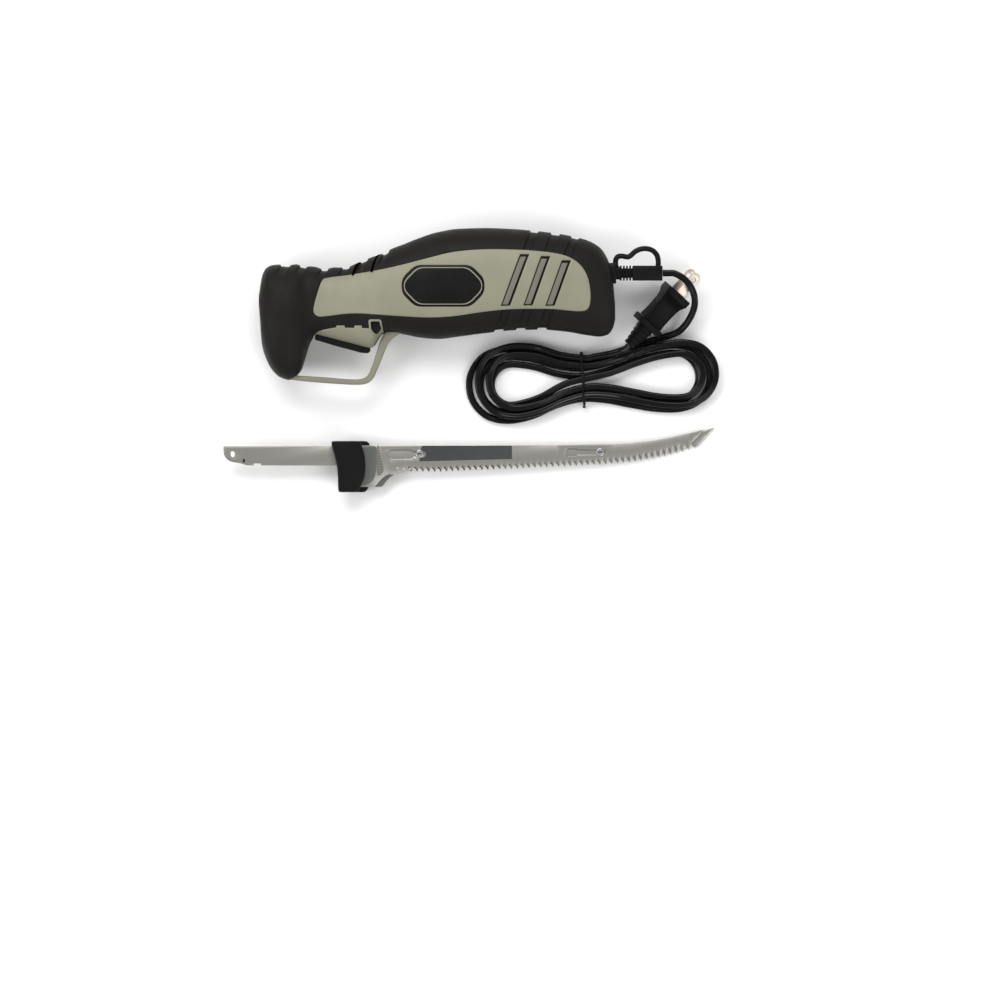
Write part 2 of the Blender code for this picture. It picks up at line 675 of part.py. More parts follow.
def boss(name, x, y, radius, near, side, parent, depth):
    """A post along z from near the parting plane into the wall, shaped to it."""
    low, high = sorted((side * near, side * FAR))
    post = link(name, rod_mesh(name, [(low, radius), (high, radius)], 12, (x, y, 0), "Z"), parent)
    return combine(post, link(name + "_end", whole_mesh(name + "_end", depth), parent), "INTERSECT")


def x_box(name, start, end, half_y, half_z, parent, centre_y=MOTOR_AXIS_Y):
    mesh = box_mesh(name, (start, centre_y - half_y, -half_z), (end, centre_y + half_y, half_z))
    return hide(link(name, mesh, parent))


def x_rod(name, start, end, radius, parent, centre_y=MOTOR_AXIS_Y, sides=16):
    mesh = rod_mesh(name, [(start, radius), (end, radius)], sides, (0, centre_y, 0))
    return hide(link(name, mesh, parent))


def z_rod(name, x, y, radius, low, high, parent, sides=12):
    return hide(link(name, rod_mesh(name, [(low, radius), (high, radius)], sides, (x, y, 0), "Z"), parent))


def make_openings(frame):
    """The cutters for what passes through both housing and overmold."""
    slot = box_mesh("trigger_slot", (TRIGGER_SLOT[0], -FAR * 2, -TRIGGER_WIDTH / 2 - GAP),
                    (TRIGGER_SLOT[1], SWITCH_CORNER[1] - GAP, TRIGGER_WIDTH / 2 + GAP))
    lock = prism_mesh("lock_hole", grown(in_metres(LOCK_OUTLINE_MM), GAP), -FAR, FAR)
    return [
        hide(link("trigger_slot", slot, frame)),
        hide(link("lock_hole", lock, frame)),
        x_box("port_hole", -FAR, PORT_DEPTH + GAP, PORT_HEIGHT / 2, PORT_WIDTH / 2, frame, 0.0),
        x_rod("cord_hole", TAIL_X - 2 * END_ZONE, TAIL_X + FAR, RELIEF_NECK_RADIUS + GAP, frame,
              CORD_EXIT_Y, 12),
        z_rod("pin_hole", *TRIGGER_PIVOT, TRIGGER_PIN_RADIUS + GAP, -PIN_HALF - GAP, PIN_HALF + GAP, frame),
    ]


def screw_cutters(side, frame):
    """Holes for the screws: a clear bore and a head seat in the right half, a blind bore in the left."""
    made = []
    for i, (x, y) in enumerate(in_metres(SCREWS_MM)):
        name = f"screw_bore_{'left' if side > 0 else 'right'}_{i + 1}"
        if side > 0:
            made.append(z_rod(name, x, y, SCREW_RADIUS + GAP, -MM, SCREW_REACH + GAP, frame))
        else:
            made.append(z_rod(name, x, y, SCREW_RADIUS + GAP, -FAR, MM, frame))
            seat = side_z(x, y, INNER_DEPTH) - SCREW_HEAD_HEIGHT
            made.append(z_rod(name + "_seat", x, y, SCREW_HEAD_RADIUS + GAP, -FAR, -seat, frame))
    return made


def make_housing(side_name, frame, openings, seats, finish):
    """One half of the shell: the wall, the panel and skirt that show through the overmold, ribs, bosses."""
    side = SIDES[side_name]
    wall = skin_mesh("housing", HOUSING_DEPTH, INNER_DEPTH, side)
    shell = link(f"housing_{side_name}", wall, frame, finish)
    bite = HOUSING_DEPTH + WALL_THICKNESS / 3
    panel = grown(in_metres(PANEL_OUTLINE_MM), -GAP)
    fuse(shell, skin_block(f"panel_{side_name}", panel, 0.0, bite, side, frame))
    fuse(shell, skin_block(f"skirt_{side_name}", in_metres(SKIRT_OUTLINE_MM), 0.0, bite, side, frame))

    ribs = [(FRONT_BEARING_START, BEARING_LENGTH), (REAR_BEARING_START, BEARING_LENGTH),
            (STATOR_START + STATOR_LENGTH / 2 - RIB_THICKNESS / 2, RIB_THICKNESS)]
    ribs += [(x, RIB_THICKNESS) for x in in_metres(GUIDE_RIBS_MM)]
    for i, (start, thickness) in enumerate(ribs):
        fuse(shell, hide(link(f"rib_{side_name}_{i}", rib_mesh("rib", start, thickness, side), frame)))
    bite_depth = INNER_DEPTH - WALL_THICKNESS / 2
    for i, (x, y) in enumerate(in_metres(SCREWS_MM)):
        post = boss(f"screw_boss_{side_name}_{i}", x, y, BOSS_RADIUS, 2 * HALF_GAP, side, frame, bite_depth)
        fuse(shell, post)
    near = DRIVER_Z + DRIVER_THICKNESS + GAP
    post = boss(f"axle_boss_{side_name}", WORM_CENTRE_X, GEAR_CENTRE_Y, 2 * GEAR_AXLE_RADIUS, near, side, frame,
                bite_depth)
    fuse(shell, post)

    badge = grown(badge_outline(), GAP)
    cut(shell, skin_block(f"badge_seat_{side_name}", badge, -MM, BADGE_DEPTH + GAP, side, frame))
    for i in range(len(VENT_TOPS_MM)):
        cut(shell, side_prism(f"vent_{side_name}_{i}", slot_outline(i), side, VENT_INSIDE, frame))
    cut(shell, *seats)
    cut(shell, *openings)
    cut(shell, *screw_cutters(side, frame))
    cut(shell, z_rod(f"axle_bore_{side_name}", WORM_CENTRE_X, GEAR_CENTRE_Y, GEAR_AXLE_RADIUS + GAP,
                     -AXLE_HALF - GAP, AXLE_HALF + GAP, frame))
    return shell


def make_seats(frame):
    """What passes through the ribs: bearings, stator and drivers."""
    middle = STATOR_START + STATOR_LENGTH / 2
    made = [x_box("stator_seat", middle - RIB_THICKNESS, middle + RIB_THICKNESS, STATOR_HEIGHT / 2 + GAP,
                  STATOR_WIDTH / 2 + GAP, frame)]
    for name, start in (("front_seat", FRONT_BEARING_START), ("rear_seat", REAR_BEARING_START)):
        made.append(x_rod(name, start - MM, start + BEARING_LENGTH + MM, BEARING_RADIUS + GAP, frame))
    for i, start in enumerate(in_metres(GUIDE_RIBS_MM)):
        made.append(x_box(f"driver_way_{i}", start - MM, start + RIB_THICKNESS + MM, DRIVER_HEIGHT / 2 + GAP,
                          DRIVER_Z + DRIVER_THICKNESS + GAP, frame, 0.0))
    return made


def badge_outline():
    return rounded_box(BADGE_CENTRE, BADGE_LENGTH, BADGE_HEIGHT, BADGE_HEIGHT / 3)


def make_overmold(side_name, frame, openings, finish):
    side = SIDES[side_name]
    cover = link(f"overmold_{side_name}", skin_mesh("overmold", 0.0, OVERMOLD_THICKNESS, side), frame, finish)
    cut(cover, side_prism(f"panel_window_{side_name}", in_metres(PANEL_OUTLINE_MM), side, -MM, frame))
    skirt = grown(in_metres(SKIRT_OUTLINE_MM), GAP)
    cut(cover, side_prism(f"skirt_window_{side_name}", skirt, side, -MM, frame))
    for i, x in enumerate(TOP_GROOVES_MM):
        outline = groove_outline(x * MM, GROOVE_WIDTH, 1, GROOVE_REACH)
        cut(cover, skin_block(f"top_groove_{side_name}_{i}", outline, -MM, GROOVE_DEPTH, side, frame))
    for i, x in enumerate(BOTTOM_GROOVES_MM):
        outline = groove_outline(x * MM, GROOVE_WIDTH, -1, GROOVE_REACH)
        cut(cover, skin_block(f"bottom_groove_{side_name}_{i}", outline, -MM, GROOVE_DEPTH, side, frame))
    for i, x in enumerate(FRONT_GROOVES_MM):
        outline = groove_outline(x * MM, FRONT_GROOVE_WIDTH, 1, FRONT_GROOVE_REACH)
        cut(cover, skin_block(f"front_groove_{side_name}_{i}", outline, -MM, GROOVE_DEPTH, side, frame))
    cut(cover, *openings)
    if side < 0:
        cut(cover, *screw_cutters(side, frame))
    return cover


def groove_outline(x, width, up, reach):
    """A leaning band across the top or the bottom edge."""
    edge = TOP.at(x) if up > 0 else BOTTOM.at(x)
    inner, outer = edge - up * reach, edge + up * reach
    low, high = sorted((inner, outer))
    half = width / 2
    lean = GROOVE_LEAN * (high - low) / 2
    return [(x - half - lean, low), (x + half - lean, low), (x + half + lean, high), (x - half + lean, high)]


def make_shell_pieces(frame, finishes):
    openings = make_openings(frame)
    seats = make_seats(frame)
    for side_name, side in SIDES.items():
        make_housing(side_name, frame, openings, seats, finishes["shell"])
        make_overmold(side_name, frame, openings, finishes["overmold"])
        skin_block(f"badge_{side_name}", badge_outline(), -BADGE_PROUD, BADGE_DEPTH, side, frame,
                   finishes["black"])
        for i in range(len(VENT_TOPS_MM)):
            skin_block(f"vent_screen_{side_name}_{i + 1}", slot_outline(i, -GAP), VENT_FACE_DEPTH,
                       VENT_FACE_DEPTH + SCREEN_THICKNESS, side, frame, finishes["mesh"])


def make_port_frame(frame, finish):
    half_y, half_z = PORT_HEIGHT / 2 - GAP, PORT_WIDTH / 2 - GAP
    start = PORT_RIM
    ring = link("blade_port_frame", box_mesh("port", (start, -half_y, -half_z), (PORT_DEPTH, half_y, half_z)),
                frame, finish)
    return cut(ring, x_box("port_bore", -FAR, FAR, half_y - PORT_RIM, half_z - PORT_RIM, frame, 0.0))


def make_screws(frame, finish):
    for i, (x, y) in enumerate(in_metres(SCREWS_MM)):
        seat = side_z(x, y, INNER_DEPTH) - SCREW_HEAD_HEIGHT + GAP
        profile = [(SCREW_REACH - GAP, SCREW_RADIUS), (-seat, SCREW_RADIUS), (-seat, SCREW_HEAD_RADIUS),
                   (-seat - SCREW_HEAD_HEIGHT, SCREW_HEAD_RADIUS)]
        screw = link(f"housing_screw_{i + 1}", rod_mesh("screw", profile, 10, (0, 0, 0), "Z"), frame, finish)
        screw.location = (x, y, 0)


def make_guard(frame, finish):
    outline = in_metres(GUARD_OUTER_MM + GUARD_INNER_MM)
    bar = prism_mesh("guard", outline, -GUARD_WIDTH / 2, GUARD_WIDTH / 2)
    guard = link("trigger_guard", bar, frame, finish)
    return cut(guard, hide(link("guard_seat", whole_mesh("guard_seat", -GAP), frame)))


# Motor and drive


def make_motor(frame, finishes):
    axis = (0, MOTOR_AXIS_Y, 0)
    bore = SHAFT_RADIUS + GAP
    make_shaft(frame, finishes["bright"])
    for name, start in (("front_bearing", FRONT_BEARING_START), ("rear_bearing", REAR_BEARING_START)):
        ends = (start, start + BEARING_LENGTH)
        profile = [(ends[0], bore), (ends[0], BEARING_RADIUS), (ends[1], BEARING_RADIUS), (ends[1], bore)]
        link(name, turned_mesh(name, profile, 16, axis), frame, finishes["brass"])

    half_y, half_z = STATOR_HEIGHT / 2, STATOR_WIDTH / 2
    end = STATOR_START + STATOR_LENGTH
    stator = link("motor_stator", box_mesh("stator", (STATOR_START, MOTOR_AXIS_Y - half_y, -half_z),
                                           (end, MOTOR_AXIS_Y + half_y, half_z)), frame, finishes["iron"])
    cut(stator, x_rod("stator_bore", STATOR_START - MM, end + MM, ARMATURE_RADIUS + AIR_GAP, frame, sides=24))
    coil_z = ARMATURE_RADIUS + AIR_GAP + COIL_WIRE_RADIUS / 2
    coil_y = ARMATURE_RADIUS * 0.7
    clear = COIL_WIRE_RADIUS + GAP
    for side in (1, -1):
        cut(stator, hide(link(f"coil_slot_{side}", box_mesh("slot", (
            STATOR_START - MM, MOTOR_AXIS_Y - coil_y - clear, min(side * coil_y, side * (coil_z + clear))), (
            end + MM, MOTOR_AXIS_Y + coil_y + clear, max(side * coil_y, side * (coil_z + clear)))), frame)))
    for name, up in (("field_coil_upper", 1), ("field_coil_lower", -1)):
        link(name, tube_mesh(name, coil_path(coil_y, coil_z, up), COIL_WIRE_RADIUS, 6, closed=True), frame,
             finishes["copper"])

    make_armature(frame, finishes)
    make_brushes(frame, finishes)
    make_fan(frame, finishes["black"])


def coil_path(coil_y, coil_z, up):
    """A saddle of wire: two legs in the stator's slots, arched over the shaft at both ends."""
    front, back = STATOR_START, STATOR_END
    reach = COIL_END_REACH
    arch_y = ARMATURE_RADIUS + 2 * COIL_WIRE_RADIUS
    near = [(0.0, coil_y, coil_z), (0.75 * reach, 1.15 * coil_y, 0.92 * coil_z),
            (reach, 0.9 * arch_y, 0.6 * coil_z), (reach, arch_y, 0.0)]
    half = near + [(x, y, -z) for x, y, z in near[-2::-1]]
    path = [(front - x, y, z) for x, y, z in half] + [(back + x, y, -z) for x, y, z in half]
    return [(x, MOTOR_AXIS_Y + up * y, z) for x, y, z in path]


def worm_radius(x, angle):
    """The worm's surface: a thread whose crest meets a gap of the gear below it at rest."""
    phase = ((x - WORM_CENTRE_X) / WORM_PITCH - (angle - math.pi) / (2 * math.pi)) % 1.0
    distance = min(phase, 1 - phase)
    crest, root = WORM_PITCH_RADIUS + TOOTH_ADDENDUM, WORM_PITCH_RADIUS - TOOTH_DEDENDUM
    share = min(max((THREAD_ROOT_SHARE - distance) / (THREAD_ROOT_SHARE - THREAD_CREST_SHARE), 0.0), 1.0)
    return root + (crest - root) * share


def make_shaft(frame, finish):
    """The armature shaft with the worm cut in its front end."""
    half = WORM_PITCH * WORM_TURNS / 2
    start, end = WORM_CENTRE_X - half, WORM_CENTRE_X + half
    rings = [(start - MM, None)]
    count = WORM_STEPS * WORM_TURNS
    rings += [(start + (end - start) * i / count, worm_radius) for i in range(count + 1)]
    rings += [(end + MM, None), (SHAFT_END, None)]
    points = []
    for x, rule in rings:
        for k in range(WORM_SIDES):
            angle = 2 * math.pi * k / WORM_SIDES
            radius = rule(x, angle) if rule else SHAFT_RADIUS
            points.append((x, MOTOR_AXIS_Y + radius * math.cos(angle), radius * math.sin(angle)))
    faces = [tuple(range(WORM_SIDES)), tuple(range(len(points) - WORM_SIDES, len(points)))]
    for i in range(len(rings) - 1):
        for k in range(WORM_SIDES):
            n = (k + 1) % WORM_SIDES
            a, b = i * WORM_SIDES, (i + 1) * WORM_SIDES
            faces.append((a + k, a + n, b + n, b + k))
    shaft = link("motor_shaft", mesh_from("shaft", points, faces), frame, finish)
    return set_origin(shaft, (WORM_CENTRE_X, MOTOR_AXIS_Y, 0))


def gear_profile(teeth, tip, root, tip_share, root_share, offset=0.0):
    """A toothed outline with a gap at the top when offset is zero."""
    outline = []
    pitch = 2 * math.pi / teeth
    for i in range(teeth):
        middle = math.pi / 2 + pitch * (i + 0.5) + offset
        for radius, share in ((root, -root_share), (tip, -tip_share), (tip, tip_share), (root, root_share)):
            angle = middle + share * pitch
            outline.append((radius * math.cos(angle), radius * math.sin(angle)))
    return outline


def ring_prism(name, outer, bore, sides, levels, twist=0.0):
    """A band from an outline in to a bore about the origin, between two z levels, its outside twisted."""
    inner = circle((0, 0), bore, sides, math.atan2(outer[0][1], outer[0][0]))
    points = []
    for level, z in enumerate(levels):
        for outline, turn in ((outer, twist * z), (inner, 0.0)):
            c, s = math.cos(turn), math.sin(turn)
            points += [(x * c - y * s, x * s + y * c, z) for x, y in outline]
    n, m = len(outer), len(inner)
    block = n + m
    faces = []
    for i in range(n):
        j = (i + 1) % n
        faces.append((i, j, block + j, block + i))
    for i in range(m):
        j = (i + 1) % m
        faces.append((n + i, n + j, block + n + j, block + n + i))
    if n % m:
        raise ValueError("the outer outline has a whole number of points for each inner one")
    share = n // m
    for base in (0, block):
        for i in range(m):
            rim = [base + (i * share + k) % n for k in range(share + 1)]
            faces.append((*rim, base + n + (i + 1) % m, base + n + i))
    return mesh_from(name, points, faces, smooth=False)


def make_gear(frame, finishes):
    tip, root = GEAR_PITCH_RADIUS + TOOTH_ADDENDUM, GEAR_PITCH_RADIUS - TOOTH_DEDENDUM
    half = GEAR_THICKNESS / 2
    outer = gear_profile(GEAR_TEETH, tip, root, 0.11, 0.24)
    bore = GEAR_AXLE_RADIUS + GAP
    slant = WORM_PITCH / (2 * math.pi * WORM_PITCH_RADIUS) / GEAR_PITCH_RADIUS
    wheel = ring_prism("gear", outer, bore, GEAR_TEETH, (-half, half), slant)
    gear = link("worm_gear", wheel, frame, finishes["nylon"])
    gear.location = (WORM_CENTRE_X, GEAR_CENTRE_Y, 0)
    for name, up in (("cam_left", 1), ("cam_right", -1)):
        low, high = sorted((up * (half - MM / 2), up * (half + CAM_THICKNESS)))
        cam = z_rod(name, WORM_CENTRE_X, GEAR_CENTRE_Y + up * ECCENTRIC, CAM_RADIUS, low, high, frame, 20)
        fuse(gear, cam)
    cut(gear, z_rod("gear_bore", WORM_CENTRE_X, GEAR_CENTRE_Y, bore, -FAR, FAR, frame, GEAR_TEETH))
    profile = [(-AXLE_HALF, GEAR_AXLE_RADIUS), (AXLE_HALF, GEAR_AXLE_RADIUS)]
    axle = rod_mesh("axle", profile, 12, (WORM_CENTRE_X, GEAR_CENTRE_Y, 0), "Z")
    link("gear_axle", axle, frame, finishes["bright"])


def driver_outline():
    """The bar and its yoke, open at the top where the worm runs."""
    inside = CAM_RADIUS + CAM_CLEARANCE
    outside = inside + YOKE_ARM
    low = GEAR_CENTRE_Y - CAM_RADIUS - ECCENTRIC - CAM_CLEARANCE
    half = DRIVER_HEIGHT / 2
    x = WORM_CENTRE_X
    return [(DRIVER_FRONT, -half), (x - outside, -half), (x - outside, low - YOKE_ARM),
            (x + outside, low - YOKE_ARM), (x + outside, 0.0), (x + inside, 0.0), (x + inside, low),
            (x - inside, low), (x - inside, half), (DRIVER_FRONT, half)]


def make_drivers(frame, finish):
    half = DRIVER_HEIGHT / 2
    for side_name, side in SIDES.items():
        low, high = sorted((side * DRIVER_Z, side * (DRIVER_Z + DRIVER_THICKNESS)))
        bar = prism_mesh("driver", driver_outline(), low, high)
        driver = link(f"blade_driver_{side_name}", bar, frame, finish)
        low, high = sorted((side * GAP, side * (DRIVER_Z + MM / 2)))
        socket = box_mesh("socket", (DRIVER_FRONT, -half, low), (DRIVER_FRONT + SOCKET_LENGTH, half, high))
        fuse(driver, hide(link(f"socket_{side_name}", socket, frame)))


def make_armature(frame, finishes):
    bore = SHAFT_RADIUS + GAP
    slots = 8
    start, end = STATOR_START + MM, STATOR_END - MM
    along_x = Matrix.Translation((0, MOTOR_AXIS_Y, 0)) @ Matrix.Rotation(math.pi / 2, 4, "Y")

    def turned_band(name, outer, sides, low, high, finish):
        mesh = ring_prism(name, outer, bore, sides, (low, high))
        mesh.transform(along_x)
        return link(name, mesh, frame, finish)

    core = gear_profile(slots, ARMATURE_RADIUS, 0.6 * ARMATURE_RADIUS, 0.38, 0.3)
    turned_band("armature_core", core, slots, start, end, finishes["iron"])

    rim = circle((0, 0), 0.88 * ARMATURE_RADIUS, 16)
    turned_band("armature_winding_front", rim, 16, start - WINDING_OVERHANG, start - GAP, finishes["copper"])
    turned_band("armature_winding_rear", rim, 16, end + GAP, end + WINDING_OVERHANG, finishes["copper"])

    segments = gear_profile(12, COMMUTATOR_RADIUS, 0.88 * COMMUTATOR_RADIUS, 0.42, 0.46)
    turned_band("commutator", segments, 12, COMMUTATOR_START, COMMUTATOR_START + COMMUTATOR_LENGTH,
                finishes["copper"])


def make_brushes(frame, finishes):
    """Two carbon brushes that press on the commutator, each in a brass box with a spring behind."""
    length, width, height = BRUSH_SIZE
    middle = COMMUTATOR_START + COMMUTATOR_LENGTH / 2
    for side_name, side in SIDES.items():
        inner = COMMUTATOR_RADIUS + GAP
        outer = inner + height
        low, high = sorted((side * inner, side * outer))
        link(f"brush_{side_name}", box_mesh("brush", (middle - length / 2, MOTOR_AXIS_Y - width / 2, low),
                                            (middle + length / 2, MOTOR_AXIS_Y + width / 2, high)),
             frame, finishes["carbon"])
        clear = GAP + HOLDER_WALL
        start, end = inner + HOLDER_STANDOFF, outer + HOLDER_TAIL
        low, high = sorted((side * start, side * end))
        holder = link(f"brush_holder_{side_name}",
                      box_mesh("holder", (middle - length / 2 - clear, MOTOR_AXIS_Y - width / 2 - clear, low),
                               (middle + length / 2 + clear, MOTOR_AXIS_Y + width / 2 + clear, high)),
                      frame, finishes["brass"])
        low, high = sorted((side * (start - MM), side * (end - HOLDER_WALL)))
        bore = box_mesh("bore", (middle - length / 2 - GAP, MOTOR_AXIS_Y - width / 2 - GAP, low),
                        (middle + length / 2 + GAP, MOTOR_AXIS_Y + width / 2 + GAP, high))
        cut(holder, hide(link(f"holder_bore_{side_name}", bore, frame)))
        wire = BRUSH_SPRING_WIRE
        spring = helix((middle, MOTOR_AXIS_Y, side * (outer + GAP + wire)), width / 2 - wire,
                       side * (HOLDER_TAIL - HOLDER_WALL - 2 * GAP - 2 * wire), 3, 8)
        link(f"brush_spring_{side_name}", tube_mesh("spring", spring, wire, 4), frame, finishes["bright"])


def helix(start, radius, rise, turns, steps):
    """Points of a coil about a line along z."""
    count = turns * steps
    points = []
    for i in range(count + 1):
        angle = 2 * math.pi * i / steps
        points.append((start[0] + radius * math.cos(angle), start[1] + radius * math.sin(angle),
                       start[2] + rise * i / count))
    return points


def make_fan(frame, finish):
    profile = gear_profile(9, FAN_RADIUS, FAN_HUB_RADIUS, 0.07, 0.14)
    mesh = ring_prism("fan", profile, SHAFT_RADIUS + GAP, 9, (FAN_START, FAN_START + FAN_WIDTH))
    mesh.transform(Matrix.Translation((0, MOTOR_AXIS_Y, 0)) @ Matrix.Rotation(math.pi / 2, 4, "Y"))
    return link("cooling_fan", mesh, frame, finish)


# Trigger, switch and lock


def make_trigger_group(frame, finishes):
    half = TRIGGER_WIDTH / 2
    x, y = TRIGGER_PIVOT
    trigger = link("trigger", prism_mesh("trigger", in_metres(TRIGGER_OUTLINE_MM), -half, half), frame,
                   finishes["black"])
    cut(trigger, z_rod("pivot_bore", x, y, TRIGGER_PIN_RADIUS + GAP, -FAR, FAR, frame))
    recess = SPRING_COIL_RADIUS + SPRING_WIRE + GAP
    cut(trigger, z_rod("spring_recess", x, y, recess, half - SPRING_RECESS, half + MM, frame, 16))
    set_origin(trigger, (x, y, 0))
    pin = rod_mesh("pin", [(-PIN_HALF, TRIGGER_PIN_RADIUS), (PIN_HALF, TRIGGER_PIN_RADIUS)], 10, (x, y, 0), "Z")
    link("trigger_pivot_pin", pin, frame, finishes["bright"])
    coil = helix((x, y, half - SPRING_WIRE - GAP), SPRING_COIL_RADIUS,
                 -(SPRING_RECESS - 2 * SPRING_WIRE - 2 * GAP), 2, 8)
    spring = link("trigger_spring", tube_mesh("spring", coil, SPRING_WIRE, 4), frame, finishes["bright"])
    set_origin(spring, (x, y, 0))

    length, height, width = SWITCH_SIZE
    left, low = SWITCH_CORNER
    body = box_mesh("switch", (left, low, -width / 2), (left + length, low + height, width / 2))
    switch = link("switch_body", body, frame, finishes["black"])
    plunger_half = PLUNGER_SIZE[0] / 2
    foot = trigger_top(PLUNGER_X) + GAP
    clear = plunger_half + GAP
    bore = box_mesh("plunger_bore", (PLUNGER_X - clear, low - MM, -clear),
                    (PLUNGER_X + clear, foot + PLUNGER_SIZE[1] + PLUNGER_TRAVEL + GAP, clear))
    cut(switch, hide(link("plunger_bore", bore, frame)))
    plunger = link("switch_plunger", box_mesh("plunger", (PLUNGER_X - plunger_half, foot, -plunger_half),
                                              (PLUNGER_X + plunger_half, foot + PLUNGER_SIZE[1], plunger_half)),
                   frame, finishes["nylon"])
    set_origin(plunger, (PLUNGER_X, foot, 0))

    lock = in_metres(LOCK_OUTLINE_MM)
    centre = sum(point[1] for point in lock) / len(lock)
    high = side_z(lock[0][0], centre, 0.0) - LOCK_RECESS
    bolt = link("trigger_lock_button", prism_mesh("lock", lock, high - LOCK_LENGTH, high), frame,
                finishes["black"])
    set_origin(bolt, (lock[0][0], centre, high))


def trigger_top(x):
    """Height of the trigger's upper edge at a station."""
    edge = in_metres(TRIGGER_OUTLINE_MM)[2:5]
    for (x0, y0), (x1, y1) in zip(edge, edge[1:]):
        if x0 <= x <= x1:
            return y0 + (y1 - y0) * (x - x0) / (x1 - x0)
    return edge[-1][1]


# Strain relief


def make_relief(frame, finish):
    """The rubber cord guard: an anchor inside the housing, a flange, ribs, a plain block and a loop."""
    anchor = TAIL_X - RELIEF_ANCHOR_INSIDE
    profile = [(anchor, RELIEF_ANCHOR_RADIUS), (anchor + RELIEF_ANCHOR_WIDTH, RELIEF_ANCHOR_RADIUS),
               (anchor + RELIEF_ANCHOR_WIDTH, RELIEF_NECK_RADIUS), (TAIL_X + RELIEF_RIB_START, RELIEF_NECK_RADIUS)]
    x = TAIL_X + RELIEF_RIB_START
    for _ in range(3):
        profile += [(x, RELIEF_RADIUS), (x + RELIEF_RIB_PITCH / 2, RELIEF_RADIUS),
                    (x + RELIEF_RIB_PITCH / 2, RELIEF_NECK_RADIUS), (x + RELIEF_RIB_PITCH, RELIEF_NECK_RADIUS)]
        x += RELIEF_RIB_PITCH
    profile += [(x, RELIEF_RADIUS), (RELIEF_END - MM, RELIEF_RADIUS), (RELIEF_END, RELIEF_RADIUS - MM)]
    relief = link("strain_relief", rod_mesh("relief", profile, 10, (0, CORD_EXIT_Y, 0)), frame, finish)
    flange = x_rod("relief_flange", TAIL_X - 2 * RELIEF_RIB_START, TAIL_X + RELIEF_FLANGE_REACH,
                   RELIEF_FLANGE_RADIUS, frame, CORD_EXIT_Y)
    cut(flange, hide(link("relief_seat", whole_mesh("relief_seat", -GAP), frame)))
    fuse(relief, flange)
    path = [(x, y, 0.0) for x, y in in_metres(LOOP_PATH_MM)]
    return fuse(relief, hide(link("loop", tube_mesh("loop", path, LOOP_RADIUS, 6), frame)))


# Blade pair


def blade_outline(back_by=0.0):
    """One blade seen from the side, with saw teeth along its edge that start back_by nearer the heel."""
    teeth = []
    edge = in_metres(BLADE_EDGE_MM)
    start = TEETH_START - back_by
    count = int((TEETH_END - start) / TOOTH_PITCH)
    xs, ys = [p[0] for p in edge], [p[1] for p in edge]
    for i in range(count):
        x = start + i * TOOTH_PITCH
        teeth.append((x, float(np.interp(x, xs, ys))))
        middle = x + TOOTH_PITCH / 2
        teeth.append((middle, float(np.interp(middle, xs, ys)) + TOOTH_DEPTH))
    teeth.append((start + count * TOOTH_PITCH, float(np.interp(TEETH_END, xs, ys))))
    return in_metres(BLADE_TANG_MM) + teeth + in_metres(BLADE_TIP_MM) + in_metres(BLADE_BACK_MM)


def moved(outline, shift):
    return [(x + shift, y) for x, y in outline]


def make_blade_pair(frame, finishes):
    outline = blade_outline()
    rivets = in_metres(RIVETS_MM)
    slot_back = BLADE_FORWARD + RIVET_SHANK_RADIUS + GAP
    slot_front = BLADE_BACKWARD + RIVET_SHANK_RADIUS + GAP
    slot_half = RIVET_SHANK_RADIUS + GAP

    lined_up = moved(blade_outline(BLADE_STAGGER % TOOTH_PITCH), BLADE_STAGGER)
    rear = link("blade_rear", prism_mesh("blade", lined_up, REAR_BLADE_Z,
                                         REAR_BLADE_Z + BLADE_THICKNESS), frame, finishes["steel"])
    front = link("blade_front", prism_mesh("blade", outline, FRONT_BLADE_Z, FRONT_BLADE_Z + BLADE_THICKNESS),
                 frame, finishes["steel"])
    hole_x, hole_y = TANG_HOLE
    cut(front, z_rod("front_hole", hole_x, hole_y, TANG_HOLE_RADIUS, -FAR, FAR, frame))
    cut(rear, z_rod("rear_hole", hole_x + BLADE_STAGGER, hole_y, TANG_HOLE_RADIUS, -FAR, FAR, frame))
    for i, (x, y) in enumerate(rivets):
        cut(rear, z_rod(f"rivet_hole_{i}", x, y, slot_half, -FAR, FAR, frame))
        slot = box_mesh("slot", (x - slot_back, y - slot_half, -FAR), (x + slot_front, y + slot_half, FAR))
        cut(front, hide(link(f"rivet_slot_{i}", slot, frame)))
        foot = REAR_BLADE_Z - GAP
        head = FRONT_BLADE_Z + BLADE_THICKNESS + GAP
        profile = [(foot - RIVET_HEAD_HEIGHT, RIVET_HEAD_RADIUS), (foot, RIVET_HEAD_RADIUS),
                   (foot, RIVET_SHANK_RADIUS), (head, RIVET_SHANK_RADIUS), (head, RIVET_HEAD_RADIUS),
                   (head + RIVET_HEAD_HEIGHT, RIVET_HEAD_RADIUS)]
        link(f"blade_rivet_{i + 1}", rod_mesh("rivet", profile, 12, (x, y, 0), "Z"), frame, finishes["bright"])

    hilt = in_metres(HILT_OUTLINE_MM)
    link("hilt_rear", prism_mesh("hilt", moved(hilt, BLADE_STAGGER), 0.0, HILT_HEIGHT), frame,
         finishes["black"])
    link("hilt_front", prism_mesh("hilt", hilt, FRONT_HILT_Z, FRONT_HILT_Z + HILT_HEIGHT), frame,
         finishes["black"])


# Cord, plug and tie


